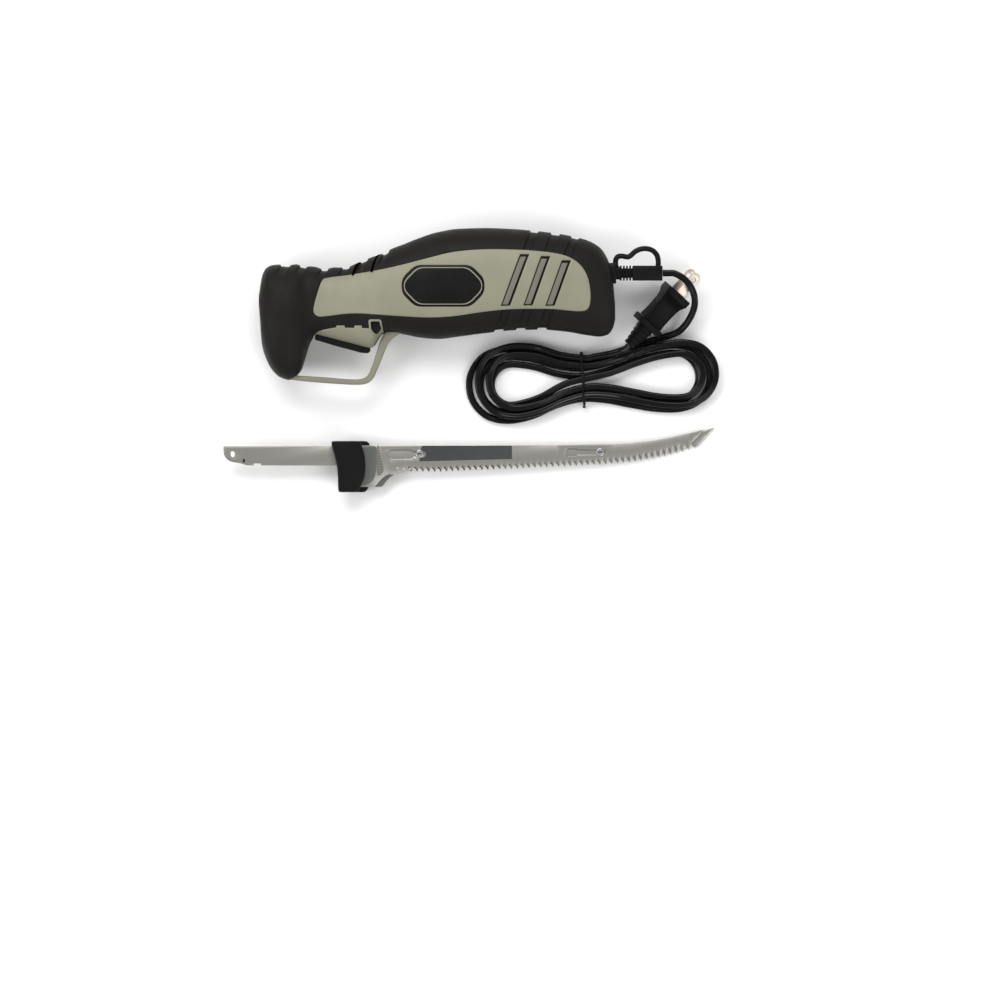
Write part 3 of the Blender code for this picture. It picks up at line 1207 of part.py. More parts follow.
def smooth_route(knots, spacing):
    """Points at an even spacing on a smooth curve through the knots, straight between the two at each end."""
    knots = [Vector(k) for k in knots]
    fine = []
    for i in range(1, len(knots) - 2):
        before, a, b, after = knots[i - 1 : i + 3]
        for k in range(20):
            t = k / 20
            fine.append(0.5 * (2 * a + (b - before) * t + (2 * before - 5 * a + 4 * b - after) * t**2
                               + (3 * a - before - 3 * b + after) * t**3))
    fine.append(knots[-2])
    lengths = [0.0]
    for a, b in zip(fine, fine[1:]):
        lengths.append(lengths[-1] + (b - a).length)
    count = max(2, round(lengths[-1] / spacing))
    points = []
    for i in range(count + 1):
        want = lengths[-1] * i / count
        j = min(int(np.searchsorted(lengths, want)), len(fine) - 1)
        j = max(j, 1)
        share = (want - lengths[j - 1]) / (lengths[j] - lengths[j - 1])
        points.append(fine[j - 1].lerp(fine[j], share))
    return [knots[0], *points, knots[-1]]


def waist(x, radius):
    """Distance of a run from the hank's middle line, drawn in at the tie."""
    reach = HANK_HALF_RUN - HANK_TIE_X if x > HANK_TIE_X else HANK_HALF_RUN + HANK_TIE_X
    near = min(abs(x - HANK_TIE_X) / reach, 1.0)
    return radius - HANK_DRAW_IN * 0.5 * (1 + math.cos(math.pi * near))


def loop_point(turn, radius, way):
    """A point of a hank loop at a share of its turn; way is 1 anticlockwise and -1 clockwise."""
    turn %= 1.0
    half = turn % HALF_SHARE
    run = HANK_HALF_RUN + HANK_FAN * (radius - HANK_FOLD_RADIUS)
    if half < RUN_SHARE:
        x = run * (1 - 2 * half / RUN_SHARE)
        y = waist(x if turn < HALF_SHARE else -x, radius)
    else:
        angle = math.pi / 2 + math.pi * (half - RUN_SHARE) / (HALF_SHARE - RUN_SHARE)
        x = -run + radius * math.cos(angle)
        y = radius * math.sin(angle)
    if turn >= HALF_SHARE:
        x, y = -x, -y
    return x, way * y


def hank_points():
    """One unbroken path: two loops and a half spiral in, a run crosses over, the next layer spirals out."""
    low = CORD_DIAMETER / 2 + HANK_LIFT
    high = low + HANK_LAYER_RISE
    inward = 2.0 + HALF_SHARE
    flat = []
    turn = HANK_START_TURN
    step = 1 / HANK_LOOP_POINTS
    while turn < inward - step / 2:
        flat.append((*loop_point(turn, HANK_FOLD_RADIUS + HANK_STEP * (inward - turn), 1), low))
        turn += step
    for i in range(HANK_RUN_POINTS + 1):
        x = HANK_HALF_RUN * (2 * i / HANK_RUN_POINTS - 1)
        side = math.sin(math.pi / 2 * max(-1.0, min(1.0, (x - HANK_TIE_X) / HANK_CROSSING_REACH)))
        climb = min(max((x + HANK_HALF_RUN) / (HANK_HALF_RUN * 0.75), 0.0), 1.0)
        flat.append((x, side * waist(x, HANK_FOLD_RADIUS), low + (high - low) * climb**2 * (3 - 2 * climb)))
    first = HALF_SHARE + RUN_SHARE
    turn = first + step
    while turn < 1 + HANK_END_TURN + step / 2:
        settle = min((turn - first) / (1 - first), 1.0) * HANK_CROSSING_STEP
        flat.append((*loop_point(turn, HANK_FOLD_RADIUS + settle + HANK_STEP * (turn - first), -1), high))
        turn += step
    tilt = math.radians(HANK_TILT_DEG)
    c, s = math.cos(tilt), math.sin(tilt)
    points = []
    for x, y, z in flat:
        share = (z - low) / (high - low) - 0.5
        x, y = x + HANK_LAYER_SHIFT[0] * share, y + HANK_LAYER_SHIFT[1] * share
        points.append(Vector((HANK_CENTRE[0] + x * c - y * s, HANK_CENTRE[1] + x * s + y * c, z)))
    before = points[0] + (points[0] - points[1]).normalized() * CORD_DIAMETER
    leaving = math.radians(HANK_EXIT_DEG)
    after = points[-1] + Vector((math.cos(leaving), math.sin(leaving), 0)) * CORD_DIAMETER
    return [before, *points, after]


def least_gap(points, radius):
    """Least free distance between stretches of a path that lie more than a fold apart along it."""
    fine = []
    for a, b in zip(points, points[1:]):
        fine += [a.lerp(b, k / 6) for k in range(6)]
    places = np.array(fine)
    along = np.concatenate(([0.0], np.cumsum(np.linalg.norm(np.diff(places, axis=0), axis=1))))
    gap = np.linalg.norm(places[:, None] - places[None, :], axis=2)
    apart = np.abs(along[:, None] - along[None, :])
    return float(gap[apart > 8 * radius].min()) - 2 * radius


def cord_object(name, points, resolution, finish):
    curve = bpy.data.curves.new(name, "CURVE")
    curve.dimensions = "3D"
    curve.bevel_depth = CORD_DIAMETER / 2
    curve.bevel_resolution = resolution
    curve.use_fill_caps = True
    spline = curve.splines.new("POLY")
    spline.points.add(len(points) - 1)
    for place, point in zip(spline.points, points):
        place.co = (*point, 1.0)
    curve.materials.append(finish)
    return link(name, curve)


def plug_axes():
    """The plug's heading, its width direction and its depth direction."""
    turn, roll = math.radians(PLUG_HEADING_DEG), math.radians(PLUG_ROLL_DEG)
    heading = Vector((math.cos(turn), math.sin(turn), 0))
    level = Vector((math.sin(turn), -math.cos(turn), 0))
    width = level * math.cos(roll) + Vector((0, 0, 1)) * math.sin(roll)
    return heading, width, heading.cross(width)


def plug_placed(mesh):
    heading, width, depth = plug_axes()
    rear = Vector(in_metres([PLUG_REAR_MM])[0])
    place = Matrix((heading, width, depth)).transposed().to_4x4()
    mesh.transform(Matrix.Translation(rear) @ place)
    mesh.update()
    return mesh


def plug_ring(x, width, depth, corner):
    """A rectangle with cut corners across the plug's heading."""
    w, d = width / 2, depth / 2
    c = min(corner, 0.9 * w, 0.9 * d)
    return [(x, y, z) for y, z in ((w - c, -d), (w, -d + c), (w, d - c), (w - c, d), (-w + c, d), (-w, d - c),
                                   (-w, -d + c), (-w + c, -d))]


def make_cord(finishes):
    hank = hank_points()
    cord_object("cord_hank", hank, 1, finishes["cord"])
    print(f"least gap of the hank to itself: {least_gap(hank, CORD_DIAMETER / 2) / MM:.2f} mm")

    centre = handle_place()
    exit_point = Vector((centre.x + RELIEF_END + GAP, centre.y + CORD_EXIT_Y, centre.z))
    heading = (hank[0] - hank[1]).normalized()
    join = hank[0] + heading * GAP
    lead = [exit_point, exit_point + Vector((CORD_DIAMETER, 0, 0)), *in_metres(LEAD_ROUTE_MM),
            join + heading * CORD_DIAMETER, join]
    cord_object("cord_lead", smooth_route(lead, 2.2 * CORD_DIAMETER), 2, finishes["cord"])

    heading = (hank[-1] - hank[-2]).normalized()
    join = hank[-1] + heading * GAP
    rear = Vector(in_metres([PLUG_REAR_MM])[0])
    direction = plug_axes()[0]
    end = rear - direction * GAP
    tail = [join, join + heading * CORD_DIAMETER, *in_metres(TAIL_ROUTE_MM), end - direction * CORD_DIAMETER, end]
    cord_object("cord_tail", smooth_route(tail, 1.8 * CORD_DIAMETER), 2, finishes["cord"])


def make_plug(finishes):
    face = PLUG_SECTIONS_MM[-1][0] * MM
    sections = in_metres(PLUG_SECTIONS_MM)
    points = [p for x, w, d, c in sections for p in plug_ring(x, w, d, c)]
    count = len(sections)
    faces = [tuple(range(8)), tuple(range(8 * (count - 1), 8 * count))]
    for i in range(count - 1):
        faces += [(8 * i + k, 8 * i + (k + 1) % 8, 8 * (i + 1) + (k + 1) % 8, 8 * (i + 1) + k) for k in range(8)]
    link("plug_body", plug_placed(mesh_from("plug", points, faces)), None, finishes["black"])

    half_w, half_t, end = PRONG_WIDTH / 2, PRONG_THICKNESS / 2, face + GAP + PRONG_LENGTH
    nose = half_w
    for i, side in enumerate((1, -1)):
        y = side * PRONG_SPACING / 2
        outline = [(face + GAP, -half_w), (end - nose, -half_w), (end - 0.3 * nose, -0.7 * half_w), (end, 0.0),
                   (end - 0.3 * nose, 0.7 * half_w), (end - nose, half_w), (face + GAP, half_w)]
        points = [(x, y + t, z) for t in (-half_t, half_t) for x, z in outline]
        n = len(outline)
        faces = [tuple(range(n)), tuple(range(n, 2 * n))]
        faces += [(k, (k + 1) % n, n + (k + 1) % n, n + k) for k in range(n)]
        link(f"plug_prong_{i + 1}", plug_placed(mesh_from("prong", points, faces)), None, finishes["brass"])


def make_tie(finish):
    """The wire tie round the hank's waist, a flat band that clears the cord."""
    hank = hank_points()
    tilt = Matrix.Rotation(-math.radians(HANK_TILT_DEG), 3, "Z")
    centre = Vector((*HANK_CENTRE, 0))
    local = [tilt @ (p - centre) for p in hank]
    edges = (HANK_TIE_X - TIE_WIDTH / 2, HANK_TIE_X + TIE_WIDTH / 2)
    half = max(abs(y) for x in edges for y in crossings(local, x)) + CORD_DIAMETER / 2 + GAP
    top = CORD_DIAMETER * 1.5 + HANK_LIFT + HANK_LAYER_RISE - CORD_DIAMETER / 2 + GAP
    low = HANK_LIFT / 2
    band = [(half, low), (half + TIE_THICKNESS, low), (half + TIE_THICKNESS, top), (half, top + TIE_THICKNESS),
            (-half, top + TIE_THICKNESS), (-half - TIE_THICKNESS, top), (-half - TIE_THICKNESS, low), (-half, low),
            (-half, top), (half, top)]
    points = [(x, y, z) for x in edges for y, z in band]
    n = len(band)
    faces = [tuple(range(n)), tuple(range(n, 2 * n))]
    faces += [(k, (k + 1) % n, n + (k + 1) % n, n + k) for k in range(n)]
    tie = link("cord_tie", mesh_from("tie", points, faces, smooth=False), None, finish)
    tie.location = (*HANK_CENTRE, 0)
    tie.rotation_euler = (0, 0, math.radians(HANK_TILT_DEG))


def crossings(points, x):
    """Heights across the hank at which its path passes a station."""
    return [a.lerp(b, (x - a.x) / (b.x - a.x)).y for a, b in zip(points, points[1:]) if (a.x - x) * (b.x - x) < 0]


# Placing


def blade_tilt():
    rise = HILT_HEIGHT + GAP
    return math.atan(rise / (BLADE_BACK_MM[0][0] * MM - max(p[0] for p in HILT_OUTLINE_MM) * MM))


def blade_place():
    """The blade frame: the rear hilt's edge and the rear blade's tip rest on the floor."""
    tilt = blade_tilt()
    left = FRONT_BLADE_Z * math.sin(tilt)
    tip = BLADE_BACK_MM[0][0] * MM + BLADE_STAGGER
    right = tip * math.cos(tilt) + (REAR_BLADE_Z + BLADE_THICKNESS) * math.sin(tilt)
    hilt_edge = max(p[0] for p in HILT_OUTLINE_MM) * MM + BLADE_STAGGER
    hilt_bottom = min(p[1] for p in HILT_OUTLINE_MM) * MM
    y = -(HANDLE_TOP_Y + BLADES_BELOW_HANDLE + hilt_bottom) / 2
    return Vector((-(left + right) / 2, y, hilt_edge * math.sin(tilt)))


def handle_place():
    place = blade_place()
    return Vector((place.x + NOSE_FROM_TANG_END, place.y + BLADES_BELOW_HANDLE, HANDLE_HALF_WIDTH))


def make_frame(name, place, tilt=0.0):
    frame = bpy.data.objects.new(name, None)
    bpy.context.scene.collection.objects.link(frame)
    frame.location = place
    frame.rotation_euler = (0, tilt, 0)
    return frame


def main():
    clear_scene()
    finishes = make_materials()
    handle = make_frame("handle_frame", handle_place())
    blades = make_frame("blade_frame", blade_place(), blade_tilt())
    make_shell_pieces(handle, finishes)
    make_port_frame(handle, finishes["black"])
    make_screws(handle, finishes["bright"])
    make_guard(handle, finishes["shell"])
    make_motor(handle, finishes)
    make_gear(handle, finishes)
    make_drivers(handle, finishes["nylon"])
    make_trigger_group(handle, finishes)
    make_relief(handle, finishes["black"])
    make_blade_pair(blades, finishes)
    make_cord(finishes)
    make_plug(finishes)
    make_tie(finishes["black"])


main()
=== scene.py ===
"""Electric fillet knife: the visible surfaces, finishes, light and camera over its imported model.

Lengths are in metres. A name that ends in _MM holds millimetres, and so does a number times MM.
The handle's pieces are drawn in the handle frame, in which x is 0 at the nose, y is 0 on the blade
line and z is 0 at the parting plane. The blades' pieces are drawn in the blade frame.
"""

import json
import math

import bpy
import numpy as np
from mathutils import Matrix, Vector
from mathutils.geometry import delaunay_2d_cdt


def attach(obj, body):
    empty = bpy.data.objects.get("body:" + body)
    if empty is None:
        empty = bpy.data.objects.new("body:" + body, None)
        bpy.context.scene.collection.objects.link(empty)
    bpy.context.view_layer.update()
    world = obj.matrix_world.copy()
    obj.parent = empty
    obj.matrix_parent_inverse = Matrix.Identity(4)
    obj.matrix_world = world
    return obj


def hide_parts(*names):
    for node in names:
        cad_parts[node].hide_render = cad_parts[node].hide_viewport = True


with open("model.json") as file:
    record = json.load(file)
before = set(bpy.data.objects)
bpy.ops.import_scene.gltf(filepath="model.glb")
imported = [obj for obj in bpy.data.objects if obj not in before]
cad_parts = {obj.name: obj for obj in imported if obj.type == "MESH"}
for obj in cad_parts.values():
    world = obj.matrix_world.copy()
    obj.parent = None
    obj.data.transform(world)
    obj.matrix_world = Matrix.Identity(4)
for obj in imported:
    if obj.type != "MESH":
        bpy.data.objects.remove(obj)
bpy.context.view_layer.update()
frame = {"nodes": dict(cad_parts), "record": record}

MM = 0.001
BODY = "handle_body"

# Where the two drawing frames lie, as in the model: the blades rest on the rear hilt and the rear tip
BLADE_LIFT_MM = 8.3
TIP_TO_HILT_MM = 317.4 - 93.2
BLADE_TILT = math.atan(BLADE_LIFT_MM / TIP_TO_HILT_MM)
BLADE_STAGGER = 5.9 * MM
HANDLE_PLACE = Vector((-137.894, 44.2, 23.0)) * MM
HANDLE_FRAME = Matrix.Translation(HANDLE_PLACE)
BLADE_FRAME = Matrix.Translation(Vector((-161.894, -62.7, 3.667)) * MM) @ Matrix.Rotation(BLADE_TILT, 4, "Y")
REAR_FRAME = BLADE_FRAME @ Matrix.Translation((BLADE_STAGGER, 0, 0))
WORLD_FRAME = Matrix.Identity(4)

# The photograph: its scale, and the pixel that lies over the frame's origin
PIXEL = 0.66 * MM
ORIGIN_PIXEL = (467.95, 360.0)
FRAME_PIXELS = 1000
CAMERA_HEIGHT = 24.0
FOCUS_HEIGHT = 0.02
SENSOR_WIDTH = 36.0

# Lamps by name: place, size and power; all of them look at the origin
LAMPS = {
    "key": ((-0.3, 1.0, 1.3), (1.3, 0.8), 19.0),
    "fill": ((0.9, -0.9, 1.4), (1.0, 1.0), 9.5),
    "side": ((-1.3, -0.3, 1.1), (0.8, 1.0), 9.0),
}
WORLD_STRENGTH = 0.55
FLOOR_REACH = 4.0
FLOOR_Z = -0.0004


# Camera, floor and light


def linked(name, data):
    made = bpy.data.objects.new(name, data)
    bpy.context.scene.collection.objects.link(made)
    return made


def principled(material, colour, roughness, metallic=0.0, shine=0.5):
    material.use_nodes = True
    shader = material.node_tree.nodes["Principled BSDF"]
    shader.inputs["Base Color"].default_value = (*colour, 1)
    shader.inputs["Roughness"].default_value = roughness
    shader.inputs["Metallic"].default_value = metallic
    shader.inputs["Specular IOR Level"].default_value = shine
    return shader


def make_camera():
    camera = bpy.data.cameras.new("camera")
    camera.sensor_width = SENSOR_WIDTH
    camera.lens = SENSOR_WIDTH * (CAMERA_HEIGHT - FOCUS_HEIGHT) / (FRAME_PIXELS * PIXEL)
    camera.clip_start = 0.1
    camera.clip_end = 60.0
    made = linked("camera", camera)
    middle = FRAME_PIXELS / 2
    made.location = ((middle - ORIGIN_PIXEL[0]) * PIXEL, (ORIGIN_PIXEL[1] - middle) * PIXEL, CAMERA_HEIGHT)
    bpy.context.scene.camera = made


def make_stage():
    scene = bpy.context.scene
    scene.view_settings.view_transform = "Standard"
    scene.world = bpy.data.worlds.new("studio")
    scene.world.use_nodes = True
    background = scene.world.node_tree.nodes["Background"]
    background.inputs["Color"].default_value = (1, 1, 1, 1)
    background.inputs["Strength"].default_value = WORLD_STRENGTH

    mesh = bpy.data.meshes.new("floor")
    corners = [(x * FLOOR_REACH, y * FLOOR_REACH, FLOOR_Z) for x, y in ((-1, -1), (1, -1), (1, 1), (-1, 1))]
    mesh.from_pydata(corners, [], [(0, 1, 2, 3)])
    paper = bpy.data.materials.new("floor_paper")
    principled(paper, (0.93, 0.93, 0.93), 0.9)
    mesh.materials.append(paper)
    linked("floor", mesh)

    for name, (place, size, power) in LAMPS.items():
        lamp = bpy.data.lights.new(name, "AREA")
        lamp.shape = "RECTANGLE"
        lamp.size, lamp.size_y = size
        lamp.energy = power
        made = linked(name, lamp)
        made.location = place
        made.rotation_euler = (-Vector(place)).to_track_quat("-Z", "Y").to_euler()


make_camera()
make_stage()


# Materials


class Finish:
    """A material, with short ways to add nodes to it."""

    def __init__(self, name, *look, **more):
        self.material = bpy.data.materials.new(name)
        self.shader = principled(self.material, *look, **more)
        self.tree = self.material.node_tree
        self.place = self.tree.nodes.new("ShaderNodeTexCoord").outputs["Object"]

    def node(self, kind, output, inputs, **settings):
        """The output of a new node, its inputs set to values or linked to other nodes' outputs."""
        made = self.tree.nodes.new("ShaderNode" + kind)
        for name, value in settings.items():
            setattr(made, name, value)
        for name, value in inputs.items():
            if isinstance(value, bpy.types.NodeSocket):
                self.tree.links.new(value, made.inputs[name])
            else:
                made.inputs[name].default_value = value
        return made.outputs[output]

    def noise(self, scale, detail, stretch=(1, 1, 1)):
        place = self.node("Mapping", "Vector", {"Vector": self.place, "Scale": stretch})
        return self.node("TexNoise", "Fac", {"Vector": place, "Scale": scale, "Detail": detail})

    def waves(self, place, **settings):
        return self.node("TexWave", "Fac", {"Vector": place, "Scale": 300.0}, **settings)

    def ramp(self, source, low, high):
        """The middle of a noise's range spread over the given one."""
        ends = {"Value": source, "From Min": 0.3, "From Max": 0.7, "To Min": low, "To Max": high}
        return self.node("MapRange", "Result", ends)

    def feed(self, name, source):
        self.tree.links.new(source, self.shader.inputs[name])

    def colour(self, source, first, second):
        ends = {"Factor": source, "A": (*first, 1), "B": (*second, 1)}
        self.feed("Base Color", self.node("Mix", "Result", ends, data_type="RGBA"))

    def bump(self, source, distance, strength):
        ends = {"Height": source, "Distance": distance, "Strength": strength}
        self.feed("Normal", self.node("Bump", "Normal", ends))


def grey(level):
    return (level, level, level)


def make_rubber():
    made = Finish("overmold_rubber", grey(0.02), 0.55, shine=0.1)
    made.colour(made.noise(60, 4), (0.008, 0.0075, 0.0068), (0.0122, 0.0114, 0.0105))
    made.feed("Roughness", made.ramp(made.noise(220, 3), 0.46, 0.6))
    made.bump(made.noise(2600, 2), 0.05 * MM, 0.5)
    return made.material


def make_moulded(name, first, second, low, high, shine=0.4, grain=1800):
    made = Finish(name, first, (low + high) / 2, shine=shine)
    made.colour(made.ramp(made.noise(45, 4), 0, 1), first, second)
    made.feed("Roughness", made.ramp(made.noise(300, 3), low, high))
    made.bump(made.noise(grain, 2), 0.03 * MM, 0.4)
    return made.material


def make_metal(name, first, second, low, high, stretch=(6, 900, 900), depth=0.01 * MM):
    made = Finish(name, first, (low + high) / 2, 1.0)
    streaks = made.noise(1.0, 5, stretch)
    made.colour(made.ramp(streaks, 0, 1), first, second)
    made.feed("Roughness", made.ramp(streaks, low, high))
    made.bump(streaks, depth, 0.35)
    return made.material


def make_woven():
    """Fine mesh woven on the diagonal, paler on its threads."""
    made = Finish("screen_mesh", (0.17, 0.165, 0.13), 0.6)
    threads = []
    for turn in (0.25, 0.75):
        turned = made.node("Mapping", "Vector", {"Vector": made.place, "Rotation": (0, 0, math.pi * turn)})
        threads.append(made.waves(turned))
    most = made.node("Math", "Value", dict(enumerate(threads)), operation="MAXIMUM")
    made.colour(most, (0.04, 0.04, 0.032), (0.18, 0.172, 0.137))
    made.bump(most, 0.2 * MM, 0.6)
    return made.material


def make_painted_ribs():
    """Dark steel whose ribs are only painted: stripes across the blade of painted light and shade, with no
    bumps.
    """
    made = Finish("ribbed_steel", (0.2, 0.2, 0.19), 0.5)
    made.colour(made.waves(made.place, bands_direction="Y"), (0.008, 0.008, 0.007), (0.26, 0.255, 0.23))
    return made.material


# Two colours and two roughnesses that a finish wavers between, then its shine and grain
MOULDED = {
    "shell_plastic": ((0.215, 0.21, 0.15), (0.24, 0.235, 0.168), 0.42, 0.55, 0.3),
    # The shell's tan painted a little darker for the guard, as shade on faces that tilt away from the light
    "guard_shaded_plastic": ((0.19, 0.186, 0.14), (0.212, 0.208, 0.156), 0.42, 0.55, 0.25),
    "black_plastic": (grey(0.004), (0.006, 0.006, 0.0058), 0.34, 0.46, 0.12),
    "plug_plastic": (grey(0.002), grey(0.0035), 0.3, 0.4, 0.06),
    "cord_rubber": (grey(0.0022), grey(0.0032), 0.13, 0.2, 0.2, 900),
    # Near black with no shine: painted shade for the grip's slits
    "slit_shade_black": (grey(0.0006), grey(0.001), 0.85, 0.95, 0.0),
    "etched_steel": ((0.028, 0.029, 0.031), (0.04, 0.042, 0.043), 0.38, 0.5),
    "carbon": (grey(0.02), grey(0.035), 0.6, 0.8),
    "white_nylon": ((0.68, 0.66, 0.6), (0.76, 0.75, 0.7), 0.35, 0.5),
}

# The same for metals, then how their streaks are stretched and how deep they are
METALS = {
    "blade_steel": ((0.365, 0.357, 0.325), (0.385, 0.377, 0.343), 0.3, 0.34, (40, 3200, 3200), 0.003 * MM),
    # Darker steel on the front blade's heel plate; on the far teeth's flanks and the rear blade's heel it is
    # painted shade
    "heel_steel": ((0.16, 0.165, 0.155), (0.18, 0.185, 0.175), 0.34, 0.42, (3000, 60, 3000)),
    # Near black steel: painted shade on the first teeth's left flanks
    "tooth_shade_steel": ((0.035, 0.034, 0.03), (0.05, 0.049, 0.044), 0.3, 0.4),
    "bright_spot": ((0.75, 0.74, 0.7), (0.85, 0.84, 0.8), 0.1, 0.2),
    "bright_steel": (grey(0.5), grey(0.6), 0.15, 0.3),
    "lamination_steel": ((0.16, 0.16, 0.17), (0.24, 0.24, 0.25), 0.35, 0.55, (1400, 30, 30)),
    "copper_wire": ((0.55, 0.22, 0.09), (0.7, 0.32, 0.15), 0.2, 0.4, (900, 60, 60)),
    "brass": ((0.44, 0.385, 0.325), (0.5, 0.44, 0.375), 0.3, 0.42, (300, 300, 300)),
}

FINISHES = {"overmold_rubber": make_rubber(), "screen_mesh": make_woven(), "ribbed_steel": make_painted_ribs()}
FINISHES |= {name: make_moulded(name, *look) for name, look in MOULDED.items()}
FINISHES |= {name: make_metal(name, *look) for name, look in METALS.items()}

for entry in frame["record"]["subparts"]:
    node = frame["nodes"][entry["node"]]
    if not node.data.materials:
        node.data.materials.append(None)
    for material_slot in node.material_slots:
        material_slot.link = "OBJECT"
        material_slot.material = FINISHES[entry["material_slot"]]


# Lines: each is an array of points in metres


def smooth_through(points, steps, closed=False):
    """More points on a smooth curve through the given ones."""
    points = [Vector(p) for p in points]
    count = len(points)
    made = []
    for i in range(count if closed else count - 1):
        near = [(i + k) % count if closed else min(max(i + k, 0), count - 1) for k in (-1, 0, 1, 2)]
        before, a, b, after = (points[j] for j in near)
        for k in range(steps):
            t = k / steps
            made.append(0.5 * (2 * a + (b - before) * t + (2 * before - 5 * a + 4 * b - after) * t**2
                               + (3 * a - before - 3 * b + after) * t**3))
    return made if closed else [*made, points[-1]]


def in_mm(outline):
    return np.array(outline) * MM


def curved(outline_mm, steps=8, closed=True):
    return np.array([tuple(p) for p in smooth_through(in_mm(outline_mm), steps, closed)])


def cornered(outline_mm, radius_mm):
    """A closed outline with each corner rounded."""
    points = [Vector(p) * MM for p in outline_mm]
    made = []
    for i, here in enumerate(points):
        arms = [other - here for other in (points[i - 1], points[(i + 1) % len(points)])]
        start, end = (here + arm.normalized() * min(radius_mm * MM, arm.length * 0.45) for arm in arms)
        made += [tuple(start * (1 - t) ** 2 + here * 2 * t * (1 - t) + end * t**2) for t in np.arange(6) / 5]
    return np.array(made)


def rounded_mm(half_w, half_d, corner, steps=4):
    """A rectangle's outline with round corners, anticlockwise from its right side, given in millimetres."""
    corner = min(corner, 0.98 * half_w, 0.98 * half_d)
    made = []
    for k, (x, y) in enumerate(((1, 1), (-1, 1), (-1, -1), (1, -1))):
        turns = [math.pi / 2 * (k + i / steps) for i in range(steps + 1)]
        made += [(x * (half_w - corner) + corner * math.cos(a), y * (half_d - corner) + corner * math.sin(a))
                 for a in turns]
    return in_mm(made)


def disc(centre_mm, radius_mm, sides=24, stretch=1.0):
    turns = [2 * math.pi / sides * i for i in range(sides)]
    return in_mm([(centre_mm[0] + radius_mm * math.cos(a), centre_mm[1] + radius_mm * stretch * math.sin(a))
                  for a in turns])


def box(centre_mm, half_x_mm, half_y_mm):
    (x, y), u, v = centre_mm, half_x_mm, half_y_mm
    return in_mm([(x - u, y - v), (x + u, y - v), (x + u, y + v), (x - u, y + v)])


def resampled(loop, spacing, closed=True):
    made = []
    count = len(loop)
    for i in range(count if closed else count - 1):
        a, b = loop[i], loop[(i + 1) % count]
        steps = max(1, round(float(np.hypot(*(b - a))) / spacing))
        made += [a + (b - a) * k / steps for k in range(steps)]
    return np.array(made if closed else [*made, loop[-1]])


def unit(vectors):
    return vectors / np.maximum(np.linalg.norm(vectors, axis=-1, keepdims=True), 1e-12)


def in_parts(points, size=3000):
    return np.array_split(points, len(points) // size + 1)


def inside(loop, points):
    """Which points lie within a closed loop."""
    (ax, ay), (bx, by) = loop.T, np.roll(loop, -1, axis=0).T
    result = []
    for part in in_parts(points):
        x, y = part[:, 0:1], part[:, 1:2]
        with np.errstate(divide="ignore", invalid="ignore"):
            before = x < ax + (y - ay) * (bx - ax) / (by - ay)
        result.append(np.sum(((ay > y) != (by > y)) & before, axis=1) % 2 == 1)
    return np.concatenate(result)


def within(loops, points):
    """Which points lie in the first loop and in none of the others, its holes."""
    kept = inside(loops[0], points)
    for hole in loops[1:]:
        kept &= ~inside(hole, points)
    return kept


def distance_to(line, points, closed=True):
    """Distance of each point to a line, or to a closed loop."""
    a = line if closed else line[:-1]
    along = (np.roll(line, -1, axis=0) if closed else line[1:]) - a
    size = np.maximum((along**2).sum(axis=1), 1e-18)
    result = []
    for part in in_parts(points):
        p = part[:, None]
        t = np.clip(((p - a) * along).sum(axis=2) / size, 0.0, 1.0)
        result.append(np.sqrt(((p - (a + t[..., None] * along)) ** 2).sum(axis=2)).min(axis=1))
    return np.concatenate(result)


def turned_left(loop, forward):
    """A closed loop run anticlockwise, or clockwise for a hole."""
    after = np.roll(loop, -1, axis=0)
    area = np.sum(loop[:, 0] * after[:, 1] - after[:, 0] * loop[:, 1])
    return loop if (area > 0) == forward else loop[::-1]


def drawn_in(loop, distance):
    """A loop moved to the left of its run, along the bisectors of its corners."""
    x, y = unit(np.roll(loop, -1, axis=0) - loop).T
    second = np.stack((-y, x), axis=1)
    first = np.roll(second, 1, axis=0)
    share = np.maximum(1 + (first * second).sum(axis=1, keepdims=True), 0.5)
    return loop + (first + second) / share * distance


# Meshes


def mesh_of(points, faces, angle):
    """A mesh whose edges are sharp where its faces meet at more than the angle in degrees."""
    mesh = bpy.data.meshes.new("piece")
    mesh.from_pydata([tuple(p) for p in points], [], [tuple(f) for f in faces])
    mesh.update()
    mesh.shade_smooth()
    mesh.set_sharp_from_angle(angle=math.radians(angle))
    return mesh


def place_piece(name, mesh, slot, stands_for=None, body=BODY, finish=None, at=HANDLE_FRAME):
    """Put a drawn mesh into the world, with its origin at the world's, in place of a node if one is named."""
    made = linked(name, mesh)
    mesh.name = name
    mesh.transform(at)
    mesh.materials.append(FINISHES[finish or slot])
    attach(made, body)
    if stands_for:
        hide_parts(stands_for)
    return made


def joined(meshes, angle=35.0):
    points, faces = [], []
    for mesh in meshes:
        start = len(points)
        points += [tuple(v.co) for v in mesh.vertices]
        faces += [tuple(start + i for i in face.vertices) for face in mesh.polygons]
    return mesh_of(points, faces, angle)


def ring_edges(start, count):
    return [(start + i, start + (i + 1) % count) for i in range(count)]


def band_faces(a, b, count):
    """The faces between two rings of points that start at a and b."""
    return [(a + k, a + (k + 1) % count, b + (k + 1) % count, b + k) for k in range(count)]


